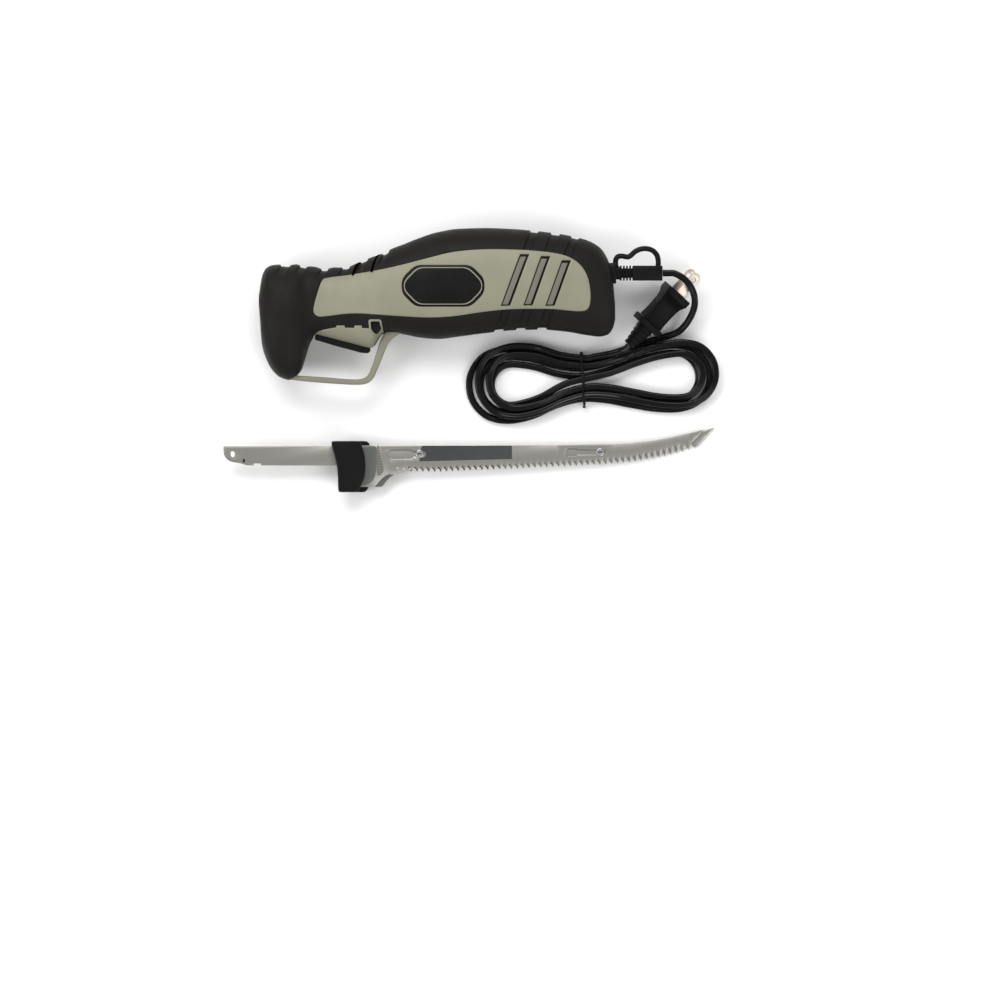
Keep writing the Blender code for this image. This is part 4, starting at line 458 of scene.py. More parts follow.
def plate(loops, low, high, rounding, steps=3, lines=(), sink=None, angle=35.0):
    """A closed plate from its outline and holes, its edges rounded.

    The lines become edges of both faces, and sink says by how much each point of them is lowered.
    """
    turns = [math.pi / 2 * k / steps for k in range(steps + 1)]
    levels = [(rounding * (1 - math.sin(a)), low + rounding * (1 - math.cos(a))) for a in turns]
    levels += [(inset, high + low - z) for inset, z in reversed(levels)]
    points, faces, rings = [], [], []
    for k, loop in enumerate(loops):
        loop = turned_left(loop, k == 0)
        n = len(loop)
        starts = [len(points) + n * i for i in range(len(levels))]
        for inset, z in levels:
            points += [(x, y, z) for x, y in drawn_in(loop, inset)]
        for a, b in zip(starts, starts[1:]):
            faces += band_faces(a, b, n)
        rings.append((starts[0], starts[-1], n))
    for top, z in enumerate((low, high)):
        borders = [range(ring[top], ring[top] + ring[2]) for ring in rings]
        index, edges = [], []
        for border in borders:
            edges += ring_edges(len(index), len(border))
            index += border
        for line in lines:
            edges += [(len(index) + k, len(index) + k + 1) for k in range(len(line) - 1)]
            index += range(len(points), len(points) + len(line))
            points += [(x, y, z) for x, y in line]
        flat = [Vector(points[i][:2]) * 1000 for i in index]
        corners, _, triangles, sources = delaunay_2d_cdt(flat, edges, [], 0, 1e-6)[:4]
        made = []
        for corner, source in zip(corners, sources):
            if source:
                made.append(index[source[0]])
            else:
                made.append(len(points))
                points.append((corner.x / 1000, corner.y / 1000, z))
        triangles = [f for f in triangles if len(f) == 3]
        centres = np.array([np.mean([tuple(corners[i]) for i in f], axis=0) for f in triangles]) / 1000
        kept = within([np.array([points[i][:2] for i in border]) for border in borders], centres)
        for face, wanted in zip(triangles, kept):
            if wanted:
                face = tuple(made[i] for i in face)
                faces.append(face if top else face[::-1])
    if sink is not None:
        points = np.array(points)
        middle, half = (low + high) / 2, (high - low) / 2
        points[:, 2] = middle + (points[:, 2] - middle) * (1 - np.clip(sink(points[:, :2]) / half, 0, 0.9))
    used = sorted({i for face in faces for i in face})
    renumbered = {old: new for new, old in enumerate(used)}
    return mesh_of([points[i] for i in used], [[renumbered[i] for i in face] for face in faces], angle)


def lofted(rings, angle=35.0, closed=False):
    """A body through rings of equally many points, with flat ends unless it closes on itself."""
    n, count = len(rings[0]), len(rings)
    last = (count - 1) * n
    faces = [] if closed else [tuple(range(n))[::-1], tuple(range(last, last + n))]
    for i in range(count if closed else count - 1):
        faces += band_faces(i * n, (i + 1) % count * n, n)
    return mesh_of([p for ring in rings for p in ring], faces, angle)


def swept(path, outline, up, roll=lambda i: 0.0):
    """An outline of (across, up) pairs carried along a path, and rolled by a rule."""
    rings = []
    for i, here in enumerate(path):
        along = (path[min(i + 1, len(path) - 1)] - path[max(i - 1, 0)]).normalized()
        across = along.cross(up).normalized()
        over = across.cross(along)
        c, s = math.cos(roll(i)), math.sin(roll(i))
        rings.append([tuple(here + across * (x * c - y * s) + over * (x * s + y * c)) for x, y in outline])
    return lofted(rings, 60.0)


# Cord: the model's route as one tube from the strain relief, through the hank, to the plug

CORD_DIAMETER = 4.2 * MM
CORD_SPACING = 1.8 * MM
CORD_EXIT_Y_MM = 13.1
CORD_EXIT = HANDLE_PLACE + Vector((266.3, CORD_EXIT_Y_MM, 0)) * MM
LOBE_RADIUS = 1.4 * MM
LOBE_OFFSET = 0.9 * MM
LOBE_POINTS = 9
# Size, rate per metre and start of the slow rolls of the flat cord along its run
CORD_ROLLS = ((0.42, 21.0, 0.0), (0.3, 55.0, 1.3))
# The hank: two layers of nested loops, each with two runs and two round ends, drawn in where the tie sits
HANK_CENTRE = (84.5 * MM, -12.6 * MM)
HANK_TILT = math.radians(3.2)
HANK_LAYER_SHIFT = (5.0 * MM, 2.0 * MM)
HANK_HALF_RUN = 53.0 * MM
# How much a loop's run grows with its radius
HANK_FAN = 0.44
HANK_FOLD_RADIUS = 12.8 * MM
HANK_STEP = 5.15 * MM
HANK_CROSSING_STEP = 2.0 * MM
HANK_CROSSING_REACH = 30.0 * MM
HANK_CLIMB_SHARE = 0.75
HANK_DRAW_IN = 11.0 * MM
HANK_TIE_X = -8.6 * MM
HANK_LAYER_RISE = 4.8 * MM
HANK_LOOP_POINTS = 24
HANK_RUN_POINTS = 7
# Turns at which the cord enters and leaves, its heading there, and the shares of one run and of half a turn
HANK_START_TURN = 1 / HANK_LOOP_POINTS
HANK_END_TURN = 1 + 15 / HANK_LOOP_POINTS
HANK_EXIT = math.radians(9.0)
RUN_SHARE = HANK_RUN_POINTS / HANK_LOOP_POINTS
HALF_SHARE = 0.5
HANK_LIFT = 0.1 * MM
# The cord's knots between the relief and the hank, and between the hank and the plug
LEAD_ROUTE_MM = [
    (136.6, 57.0, 23.2), (142.6, 53.6, 23.8), (147.0, 48.4, 24.0), (149.4, 42.0, 23.4), (149.4, 35.0, 20.2),
    (146.6, 27.8, 14.4), (142.0, 21.4, 8.4), (136.8, 17.6, 4.0),
]
TAIL_ROUTE_MM = [(91.0, 3.5, 7.8), (95.8, 4.6, 9.9), (100.4, 5.8, 12.1)]
# Where the plug's rear lies, where the plug points, and how it is rolled
PLUG_REAR = Vector((106.4, 9.8, 12.9)) * MM
PLUG_HEADING = math.radians(47.5)
PLUG_ROLL = math.radians(71.5)
UPWARD = Vector((0, 0, 1))


def waist(x, radius):
    """The loops' half width at x: narrowest at the tie."""
    reach = HANK_HALF_RUN - HANK_TIE_X if x > HANK_TIE_X else HANK_HALF_RUN + HANK_TIE_X
    near = min(abs(x - HANK_TIE_X) / reach, 1.0)
    return radius - HANK_DRAW_IN * 0.5 * (1 + math.cos(math.pi * near))


def loop_point(turn, radius, way):
    """A point of a loop: a run, a round end, and both again on the other side."""
    half = turn % HALF_SHARE
    far = turn % 1.0 >= HALF_SHARE
    run = HANK_HALF_RUN + HANK_FAN * (radius - HANK_FOLD_RADIUS)
    if half < RUN_SHARE:
        x = run * (1 - 2 * half / RUN_SHARE)
        y = waist(-x if far else x, radius)
    else:
        angle = math.pi / 2 + math.pi * (half - RUN_SHARE) / (HALF_SHARE - RUN_SHARE)
        x, y = -run + radius * math.cos(angle), radius * math.sin(angle)
    return (-x, -way * y) if far else (x, way * y)


def hank_points():
    """Two loops and a half spiral in, a run crosses over, and the next layer spirals out."""
    low = CORD_DIAMETER / 2 + HANK_LIFT
    high = low + HANK_LAYER_RISE
    inward = 2.0 + HALF_SHARE
    flat = []
    turn = HANK_START_TURN
    step = 1 / HANK_LOOP_POINTS
    while turn < inward - step / 2:
        flat.append((*loop_point(turn, HANK_FOLD_RADIUS + HANK_STEP * (inward - turn), 1), low))
        turn += step
    for i in range(HANK_RUN_POINTS + 1):
        x = HANK_HALF_RUN * (2 * i / HANK_RUN_POINTS - 1)
        side = math.sin(math.pi / 2 * max(-1.0, min(1.0, (x - HANK_TIE_X) / HANK_CROSSING_REACH)))
        climb = min(max((x + HANK_HALF_RUN) / (HANK_HALF_RUN * HANK_CLIMB_SHARE), 0.0), 1.0)
        flat.append((x, side * waist(x, HANK_FOLD_RADIUS), low + (high - low) * climb**2 * (3 - 2 * climb)))
    first = HALF_SHARE + RUN_SHARE
    turn = first + step
    while turn < 1 + HANK_END_TURN + step / 2:
        settle = min((turn - first) / (1 - first), 1.0) * HANK_CROSSING_STEP
        flat.append((*loop_point(turn, HANK_FOLD_RADIUS + settle + HANK_STEP * (turn - first), -1), high))
        turn += step
    c, s = math.cos(HANK_TILT), math.sin(HANK_TILT)
    points = []
    for x, y, z in flat:
        share = (z - low) / (high - low) - 0.5
        x, y = x + HANK_LAYER_SHIFT[0] * share, y + HANK_LAYER_SHIFT[1] * share
        points.append(Vector((HANK_CENTRE[0] + x * c - y * s, HANK_CENTRE[1] + x * s + y * c, z)))
    before = points[0] + (points[0] - points[1]).normalized() * CORD_DIAMETER
    after = points[-1] + Vector((math.cos(HANK_EXIT), math.sin(HANK_EXIT), 0)) * CORD_DIAMETER
    return [before, *points, after]


def plug_axes():
    heading = Vector((math.cos(PLUG_HEADING), math.sin(PLUG_HEADING), 0))
    width = heading.cross(UPWARD) * math.cos(PLUG_ROLL) + UPWARD * math.sin(PLUG_ROLL)
    return heading, width, heading.cross(width)


def even_route(knots, spacing):
    fine = smooth_through(knots, 14)
    lengths = np.concatenate(([0.0], np.cumsum([(b - a).length for a, b in zip(fine, fine[1:])])))
    wanted = np.linspace(0, lengths[-1], round(lengths[-1] / spacing) + 1)
    columns = [np.interp(wanted, lengths, axis) for axis in zip(*fine)]
    return [Vector(p) for p in zip(*columns)]


def twin_outline():
    """The flat twin cord's section: two lobes side by side."""
    open_angle = math.acos(LOBE_OFFSET / LOBE_RADIUS)
    turns = [(math.pi - open_angle) * (2 * k / (LOBE_POINTS - 1) - 1) for k in range(LOBE_POINTS)]
    return [(-side * (LOBE_OFFSET + LOBE_RADIUS * math.cos(a)), side * LOBE_RADIUS * math.sin(a))
            for side in (1, -1) for a in turns]


def cord_roll(i):
    return -sum(size * math.sin(i * CORD_SPACING * rate + start) for size, rate, start in CORD_ROLLS)


def make_cord():
    straight = Vector((1, 0, 0))
    heading = plug_axes()[0]
    route = [CORD_EXIT + straight * 0.1 * MM, CORD_EXIT + straight * CORD_DIAMETER]
    route += [Vector(p) * MM for p in LEAD_ROUTE_MM] + hank_points() + [Vector(p) * MM for p in TAIL_ROUTE_MM]
    route += [PLUG_REAR - heading * CORD_DIAMETER, PLUG_REAR - heading * 0.1 * MM]
    path = even_route(route, CORD_SPACING)
    cord = place_piece("cord", swept(path, twin_outline(), UPWARD, cord_roll), "cord_rubber", at=WORLD_FRAME)
    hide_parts("cord_lead", "cord_hank", "cord_tail")


# Handle: one half is a sheet over station and arc, cut along its outlines and laid on the body

# Station along the handle, the top and the bottom edge there, and the half width
HANDLE_PROFILE_MM = [
    (0.0, -1.0, -9.0, 14.0), (2.0, 11.2, -34.3, 17.5), (5.0, 16.6, -44.0, 20.5), (9.0, 18.4, -51.2, 22.3),
    (14.0, 18.8, -55.6, 23.0), (20.0, 18.4, -57.4, 22.8), (24.5, 19.0, -54.8, 21.5),
    (28.0, 18.0, -51.0, 19.8), (31.0, 17.4, -42.0, 18.2), (34.0, 17.6, -32.9, 17.2),
    (37.5, 17.2, -28.3, 16.6), (43.0, 15.6, -29.5, 16.3), (50.0, 17.0, -31.3, 16.4),
    (57.0, 16.8, -33.1, 16.8), (64.0, 19.4, -34.9, 17.4), (70.0, 21.8, -36.5, 18.0),
    (74.0, 23.5, -37.2, 18.5), (77.0, 24.5, -34.0, 18.9), (79.4, 25.3, -29.8, 19.1),
    (82.0, 26.0, -27.0, 19.4), (88.0, 29.4, -26.2, 20.0), (96.0, 32.4, -27.4, 20.8),
    (106.0, 36.4, -29.4, 21.6), (118.0, 40.2, -30.4, 22.4), (132.0, 42.4, -28.8, 22.9),
    (150.0, 42.9, -26.4, 23.0), (168.0, 42.2, -24.6, 22.8), (186.0, 40.6, -24.2, 22.2),
    (203.0, 38.2, -25.6, 21.2), (216.0, 35.0, -27.8, 20.2), (224.5, 30.4, -28.8, 19.0),
    (230.0, 22.6, -27.6, 17.6), (233.4, 10.0, -23.6, 15.6), (235.0, -7.0, -18.0, 13.0),
]
SECTION_POWER = 2.5
TAIL_X = HANDLE_PROFILE_MM[-1][0] * MM
# The sheet: half its height, its rows, its steps along plain and grooved stretches, and its flat caps' reach
ARC = 40.0 * MM
ARC_ROWS = 93
PLAIN_STEP = 1.1 * MM
GROOVED_STEP = 0.6 * MM
GROOVED_MM = ((24.0, 90.0), (152.0, 214.0))
CAP = 8.0 * MM
# The skins' thickness, the open seam between the halves, and how an edge falls away
WALL = 1.4 * MM
SHELL_WALL = 2.4 * MM
SEAM_GAP = 0.12 * MM
EDGE_DROP = 0.25 * MM
EDGE_WIDTH = 0.4 * MM
PANEL_OUTLINE_MM = [
    (42.0, 8.6), (38.6, -0.5), (36.4, -8.6), (36.4, -13.2), (39.4, -15.6), (46.0, -15.2), (56.0, -13.9),
    (66.0, -13.5), (76.0, -14.1), (84.0, -14.8), (98.0, -15.7), (112.0, -16.3), (128.0, -15.5),
    (146.0, -12.9), (160.0, -11.3), (172.0, -10.7), (192.0, -10.7), (203.0, -11.6), (211.0, -12.2),
    (216.0, -11.3), (218.2, -8.0), (218.8, -2.0), (218.3, 4.0), (216.9, 10.2), (213.9, 16.2), (208.8, 21.3),
    (200.8, 25.1), (188.0, 27.3), (170.0, 28.6), (148.0, 28.8), (128.0, 27.0), (110.0, 22.7), (90.0, 17.6),
    (74.0, 14.4), (58.0, 11.8), (47.0, 10.4),
]
SKIRT_OUTLINE_MM = [
    (36.9, -27.4), (39.2, -25.6), (42.2, -24.5), (48.8, -23.2), (50.9, -22.9), (51.2, -21.6), (56.4, -21.6),
    (56.8, -23.0), (62.8, -23.2), (63.2, -21.6), (67.7, -21.6), (68.1, -23.2), (72.6, -23.4), (74.5, -22.0),
    (80.0, -22.0), (82.2, -25.0), (83.2, -46.0), (36.9, -46.0),
]
BUTTON_RIM_MM = [(72.2, -17.5), (80.6, -17.5), (82.0, -25.0), (77.9, -29.0), (73.0, -26.0)]
BUTTON_HOLE_MM = [(73.4, -18.5), (79.7, -18.5), (80.9, -24.5), (77.8, -27.6), (74.1, -25.2)]
BUTTON_FACE_MM = [(73.9, -19.0), (79.3, -19.0), (80.3, -24.1), (77.7, -26.9), (74.5, -24.8)]
# The trigger lock: where the body's height is taken, its length, and how deep its face lies under that
LOCK_CORNER = (72.6 * MM, -20.84 * MM)
LOCK_LENGTH = 25.0 * MM
LOCK_RECESS = 2.2 * MM
# The trigger's slot in the belly, and the blade port in the nose
SLOT_X = (35.9 * MM, 76.2 * MM)
SLOT_Z = 6.3 * MM
PORT_HALF_Y = 9.5 * MM
PORT_HALF_Z = 5.5 * MM
PORT_CORNER = 1.5 * MM
SCREW_PLACES_MM = [(20.0, -42.0), (92.0, 20.0), (214.0, -18.0), (211.0, 25.0)]
SCREW_HOLE_RADIUS_MM = 2.9
SCREW_HEAD_RADIUS_MM = 2.6
SCREW_SINK = 4.2 * MM
CROSS_ARM_MM = 1.5
CROSS_BAR_MM = 0.38
# The badge: its middle, half its length and height, its cut corners, and how far it stands out
BADGE_CENTRE_MM = (121.5, 4.6)
BADGE_HALF_MM = (27.0, 13.5)
BADGE_CUT_MM = 9.0
BADGE_PROUD = 0.3 * MM
GUARD_OUTER_MM = [
    (18.0, -56.8), (29.0, -58.2), (44.0, -59.5), (56.0, -60.3), (64.5, -60.6), (70.6, -59.9), (75.0, -56.9),
    (78.3, -50.3), (82.7, -39.4), (85.4, -33.3), (89.3, -29.2), (94.5, -26.2),
]
GUARD_INNER_MM = [
    (86.0, -20.0), (82.4, -27.0), (79.4, -33.3), (75.4, -45.9), (72.5, -53.2), (69.4, -56.0), (64.1, -57.0),
    (55.3, -56.6), (42.2, -55.5), (24.7, -54.4), (18.0, -53.6),
]
GUARD_HALF_WIDTH = 5.5 * MM
TRIGGER_OUTLINE_MM = [
    (37.3, -24.0), (39.0, -20.9), (44.0, -19.9), (62.0, -20.6), (70.0, -25.0), (73.0, -31.0), (73.6, -38.2),
    (72.2, -39.8), (68.0, -39.6), (52.0, -35.4), (42.0, -32.4), (36.9, -30.9),
]
TRIGGER_HALF_WIDTH = 6.0 * MM
# Left corners of the three slanted vents
VENT_TOPS_MM = [(172.4, 25.8), (186.2, 24.5), (199.9, 21.7)]
VENT_FEET_MM = [(159.5, -8.9), (174.4, -8.6), (188.9, -8.9)]
VENT_WIDTH_MM = 6.1
VENT_LEAN = 0.373
# Where the grooves start and end along the top and the bottom edge
TOP_GROOVES_MM = [(178.9, 184.6), (192.6, 198.7), (205.9, 211.5)]
BOTTOM_GROOVES_MM = [(155.1, 161.5), (169.5, 175.9), (183.5, 190.0)]
GROOVE_DEPTH = 1.25 * MM
DEEPEST_GROOVE = 1.5 * MM
GROOVE_RAMP = 0.6 * MM
CREASE_CLEAR = 0.28 * MM
# The same for the gaps between the front ribs, and the two slits' lines among them
FRONT_GAPS_MM = [(14.2, 21.0), (27.0, 31.8), (41.1, 46.0), (54.8, 60.2), (66.9, 72.1), (81.4, 86.2)]
FRONT_GAP_DEPTH = 1.15 * MM
FRONT_LEAN = 0.6
FRONT_LINES_MM = [[(66.2, 19.9), (61.9, 11.4)], [(79.9, 25.6), (74.3, 13.6)]]
FRONT_LINE_WIDTH_MM = 1.5


class Edge:
    """One edge of the handle against the station along it, smooth through its knots."""

    def __init__(self, column):
        self.x, self.y = in_mm(HANDLE_PROFILE_MM)[:, (0, column)].T
        step = np.diff(self.y) / np.diff(self.x)
        self.slope = np.array([step[0], *step])
        for i, (a, b) in enumerate(zip(step, step[1:])):
            self.slope[i + 1] = 0.0 if a * b <= 0 else 2 * a * b / (a + b)

    def at(self, x):
        i = np.clip(np.searchsorted(self.x, x) - 1, 0, len(self.x) - 2)
        span = self.x[i + 1] - self.x[i]
        t = (x - self.x[i]) / span
        return ((2 * t**3 - 3 * t**2 + 1) * self.y[i] + (t**3 - 2 * t**2 + t) * span * self.slope[i]
                + (3 * t**2 - 2 * t**3) * self.y[i + 1] + (t**3 - t**2) * span * self.slope[i + 1])


TOP, BOTTOM, HALF_WIDTH = Edge(1), Edge(2), Edge(3)


def arc_table():
    """The section's outline against the share of its arc, from the bottom seam (-1) to the top one (1)."""
    angle = np.linspace(-math.pi / 2, math.pi / 2, 4001)
    up = np.sign(np.sin(angle)) * np.abs(np.sin(angle)) ** (2 / SECTION_POWER)
    out = np.abs(np.cos(angle)) ** (2 / SECTION_POWER)
    out[0] = out[-1] = 0.0
    along = np.concatenate(([0.0], np.cumsum(np.hypot(np.diff(up), np.diff(out)))))
    return 2 * along / along[-1] - 1, up, out


SHARE, UP, OUT = arc_table()


def section(x):
    """The body's middle height, half height and half width at a station."""
    top, bottom = TOP.at(x), BOTTOM.at(x)
    return (top + bottom) / 2, (top - bottom) / 2, HALF_WIDTH.at(x)


def surface(t, v):
    """Points of the left half at stations t and arcs v; past the ends the rings shrink to flat caps."""
    x = np.clip(t, 0.0, TAIL_X)
    scale = np.clip(1 - np.maximum(np.maximum(-t, t - TAIL_X), 0.0) / CAP, 0.0, 1.0)
    centre, half_height, half_width = section(x)
    share = np.clip(v / ARC, -1.0, 1.0)
    return np.stack((x, centre + half_height * np.interp(share, SHARE, UP) * scale,
                     half_width * np.interp(share, SHARE, OUT) * scale), axis=-1)


def outward(t, v):
    step = 0.08 * MM
    over = surface(t + step, v) - surface(t - step, v)
    up = surface(t, np.minimum(v + step, ARC)) - surface(t, np.maximum(v - step, -ARC))
    return unit(np.cross(over, up))


def to_sheet(points):
    """Side-view points of the handle as station and arc."""
    x, y = points.T
    centre, half_height, _ = section(x)
    up = np.clip((y - centre) / half_height, -1.0, 1.0)
    return np.stack((x, np.interp(up, UP, SHARE) * ARC), axis=-1)


def sheet_loop(outline, spacing_mm):
    return resampled(to_sheet(outline), spacing_mm * MM)


def offset_loop(loop, distance):
    """A closed loop moved sideways; the points that come too close to the loop are left out."""
    ahead = unit(np.roll(loop, -1, axis=0) - np.roll(loop, 1, axis=0))
    moved = loop + np.stack((ahead[:, 1], -ahead[:, 0]), axis=1) * distance
    return moved[distance_to(loop, moved) > 0.92 * abs(distance)]


def slot_edge(x):
    """Arc at which the belly reaches the trigger slot's side."""
    share = np.clip(SLOT_Z / section(x)[2], 0.0, 1.0)
    lower = SHARE <= 0
    return np.interp(share, OUT[lower], SHARE[lower]) * ARC


def port_place(y, z):
    """Station and arc at which the nose meets a point of the blade port's border."""
    def gauge(x):
        centre, half_height, half_width = section(x)
        return (abs(y - centre) / half_height) ** SECTION_POWER + (abs(z) / half_width) ** SECTION_POWER

    start, scale, station = gauge(0.0), 1.0, 0.0
    if start <= 1:
        scale = max(start ** (1 / SECTION_POWER), 0.02)
    else:
        low, station = 0.0, 10.0 * MM
        for _ in range(40):
            middle = (low + station) / 2
            low, station = (middle, station) if gauge(middle) > 1 else (low, middle)
    centre, half_height, _ = section(station)
    up = np.clip((y - centre) / (half_height * scale), -1, 1)
    return station + (scale - 1) * CAP, float(np.interp(up, UP, SHARE)) * ARC


def port_line():
    """The port's border from the lower seam round to the upper one."""
    y, z, corner = PORT_HALF_Y, PORT_HALF_Z, PORT_CORNER
    ring = [(-y, 0.0), (-y, z - corner), (-y + 0.3 * corner, z - 0.3 * corner), (-y + corner, z)]
    ring += [(-u, v) for u, v in reversed(ring)]
    return np.array([port_place(u, v) for u, v in resampled(np.array(ring), 0.5 * MM, closed=False)])


def half_outline():
    """The border of one half: seams, tail, trigger slot and blade port."""
    port = port_line()
    slot_x = np.linspace(SLOT_X[1], SLOT_X[0], 60)
    slot = np.stack((slot_x, slot_edge(slot_x)), axis=-1)
    tail = TAIL_X + 0.999 * CAP
    seams = [(port[-1][0], ARC), (tail, ARC), (tail, -ARC), (SLOT_X[1], -ARC)]
    corners = (seams, slot, [(SLOT_X[0], -ARC), (port[0][0], -ARC)], port[1:-1])
    return resampled(np.concatenate(corners), 0.9 * MM)


def stations():
    """Stations spaced so that no step along any edge is long, and close together where the grooves are."""
    fine = np.linspace(0, TAIL_X, 6000)
    rises = [np.abs(np.gradient(edge.at(fine), fine)) for edge in (TOP, BOTTOM, HALF_WIDTH)]
    rise = np.max(rises, axis=0)
    grooved = np.any([(fine > low) & (fine < high) for low, high in in_mm(GROOVED_MM)], axis=0)
    density = np.sqrt(1 + rise**2) / np.where(grooved, GROOVED_STEP, PLAIN_STEP)
    count = np.concatenate(([0.0], np.cumsum((density[1:] + density[:-1]) / 2 * np.diff(fine))))
    middle = np.interp(np.linspace(0, count[-1], int(count[-1])), count, fine)
    caps = np.linspace(0.08, 0.9, 6) * CAP
    return np.concatenate((-caps[::-1], middle, TAIL_X + caps))


# The grooves: their places on an edge, that edge and its side, their lean and their depth, and the height
# at which they start to fade in and the length of that fade, measured from the edge on the front gaps
GROOVES = (
    (TOP_GROOVES_MM, TOP, 1, VENT_LEAN, GROOVE_DEPTH, 14 * MM, 6 * MM),
    (BOTTOM_GROOVES_MM, BOTTOM, -1, VENT_LEAN, GROOVE_DEPTH, 6 * MM, 3 * MM),
    (FRONT_GAPS_MM, TOP, 1, FRONT_LEAN, FRONT_GAP_DEPTH, -9 * MM, 6 * MM),
)


def groove_depth(points):
    """How deep the grip's grooves lie below the body at side-view points."""
    x, y = points[:, 0], points[:, 1]
    depth = np.zeros(len(x))
    for grooves, edge, side, lean, deep, start, fade in GROOVES:
        height = y - edge.at(x) if start < 0 else y * side
        fading = deep * np.clip((height - start) / fade, 0, 1)
        along = x + lean * (edge.at(x) - y)
        for low, high in grooves:
            depth += fading * (np.clip((along - low * MM) / GROOVE_RAMP, 0, 1)
                               * np.clip((high * MM - along) / GROOVE_RAMP, 0, 1))
    return np.minimum(depth, DEEPEST_GROOVE)


def groove_creases():
    """The edges of the grip's grooves as lines over station and arc."""
    made = []
    for grooves, edge, side, lean, *_ in GROOVES:
        share = np.linspace(0.3, 0.985, 22) * side
        for low, high in in_mm(grooves):
            for start in (low, low + GROOVE_RAMP, high - GROOVE_RAMP, high):
                x = np.full(len(share), start)
                for _ in range(8):
                    centre, half_height, _ = section(x)
                    x = start - lean * (edge.at(x) - (centre + half_height * np.interp(share, SHARE, UP)))
                made.append(np.stack((x, share * ARC), axis=-1))
    return made


def laid_sheet(loops, mirror, depth_of=None, level=0.0, wall=WALL, drop=EDGE_DROP, creases=()):
    """The half's surface between the first loop and its holes, with exact edges, softened and walled."""
    grid = np.stack(np.meshgrid(stations(), np.linspace(-ARC, ARC, ARC_ROWS), indexing="ij"), axis=-1)
    grid = grid.reshape(-1, 2)
    spread = np.concatenate(loops)
    low, high = spread.min(axis=0) - EDGE_WIDTH, spread.max(axis=0) + EDGE_WIDTH
    grid = grid[((grid >= low) & (grid <= high)).all(axis=1)]
    clear = np.ones(len(grid), dtype=bool)
    for loop in loops:
        clear &= distance_to(loop, grid) > 1.5 * EDGE_WIDTH
    for crease in creases:
        clear &= distance_to(crease, grid, closed=False) > CREASE_CLEAR
    points, edges = [*grid[clear]], []
    for crease in creases:
        edges += [(len(points) + i, len(points) + i + 1) for i in range(len(crease) - 1)]
        points += [*crease]
    for loop in loops:
        edges += ring_edges(len(points), len(loop))
        points += [*loop]
        for ring in (offset_loop(loop, EDGE_WIDTH), offset_loop(loop, -EDGE_WIDTH)):
            points += [*ring] if len(ring) > 2 else []
    result = delaunay_2d_cdt([Vector(p * 1000) for p in points], edges, [], 0, 1e-5)
    flat = np.array([tuple(v) for v in result[0]]) / 1000
    faces = np.array([tuple(f) for f in result[2] if len(f) == 3])
    used, faces = np.unique(faces[within(loops, flat[faces].mean(axis=1))], return_inverse=True)
    flat, faces = flat[used], faces.reshape(-1, 3).tolist()

    around = dict.fromkeys((face[k], face[(k + 1) % 3]) for face in faces for k in range(3))
    rim = [(a, b) for a, b in around if (b, a) not in around]
    on_rim = sorted({i for edge in rim for i in edge})
    place, normal = surface(*flat.T), outward(*flat.T)
    depth = np.full(len(flat), level) + (0.0 if depth_of is None else depth_of(place))
    depth[on_rim] += drop
    top, below = (place - normal * deep[:, None] for deep in (depth, depth + wall))
    points = np.concatenate((top, below[on_rim]))
    points[:, 2] = np.maximum(points[:, 2], SEAM_GAP)
    lower = {i: len(flat) + k for k, i in enumerate(on_rim)}
    faces += [(b, a, lower[a], lower[b]) for a, b in rim]
    if mirror:
        points[:, 2] *= -1
        faces = [face[::-1] for face in faces]
    return mesh_of(points, faces, 50)


def lay_piece(name, side, slot, loops, stands_for=None, finish=None, **how):
    """A sheet on the left or right side; where there are several, the side ends in a number."""
    mesh = laid_sheet(loops, side.startswith("right"), **how)
    place_piece(f"{name}_{side}", mesh, slot, stands_for and f"{stands_for}_{side}", finish=finish)


def skirt_loop():
    """The skirt's border, ended below at the trigger slot's edge."""
    points = to_sheet(resampled(in_mm(SKIRT_OUTLINE_MM), 0.5 * MM))
    lowest = slot_edge(np.clip(points[:, 0], SLOT_X[0], TAIL_X))
    points[:, 1] = np.maximum(points[:, 1], lowest)
    return resampled(points, 0.5 * MM)


def button_loop(outline_mm, corner_mm):
    return sheet_loop(resampled(cornered(outline_mm, corner_mm), 0.4 * MM), 0.4)


def vent_loop(index, corner_mm, spacing_mm, left=0.0, right=0.0, up=0.0, down=0.0):
    """A vent slot's border, its sides moved out by the given millimetres."""
    (top_x, top_y), (foot_x, foot_y) = VENT_TOPS_MM[index], VENT_FEET_MM[index]
    slope = (top_x - foot_x) / (top_y - foot_y)
    line = [(top_x + slope * up, top_y + up), (foot_x - slope * down, foot_y - down)]
    outline = [(x - left, y) for x, y in line] + [(x + VENT_WIDTH_MM + right, y) for x, y in reversed(line)]
    return sheet_loop(cornered(outline, corner_mm), spacing_mm)


def badge_outline(grow_mm=0.0):
    """A rounded plate with cut corners, blank."""
    (x, y), half_l, half_h = BADGE_CENTRE_MM, BADGE_HALF_MM[0] + grow_mm, BADGE_HALF_MM[1] + grow_mm
    side = [(half_l - BADGE_CUT_MM, half_h), (half_l, half_h - BADGE_CUT_MM)]
    right = [(u, -v) for u, v in side] + side[::-1]
    corners = right + [(-u, v) for u, v in reversed(right)]
    return resampled(cornered([(x + u, y + v) for u, v in corners], 4.0), 0.6 * MM)


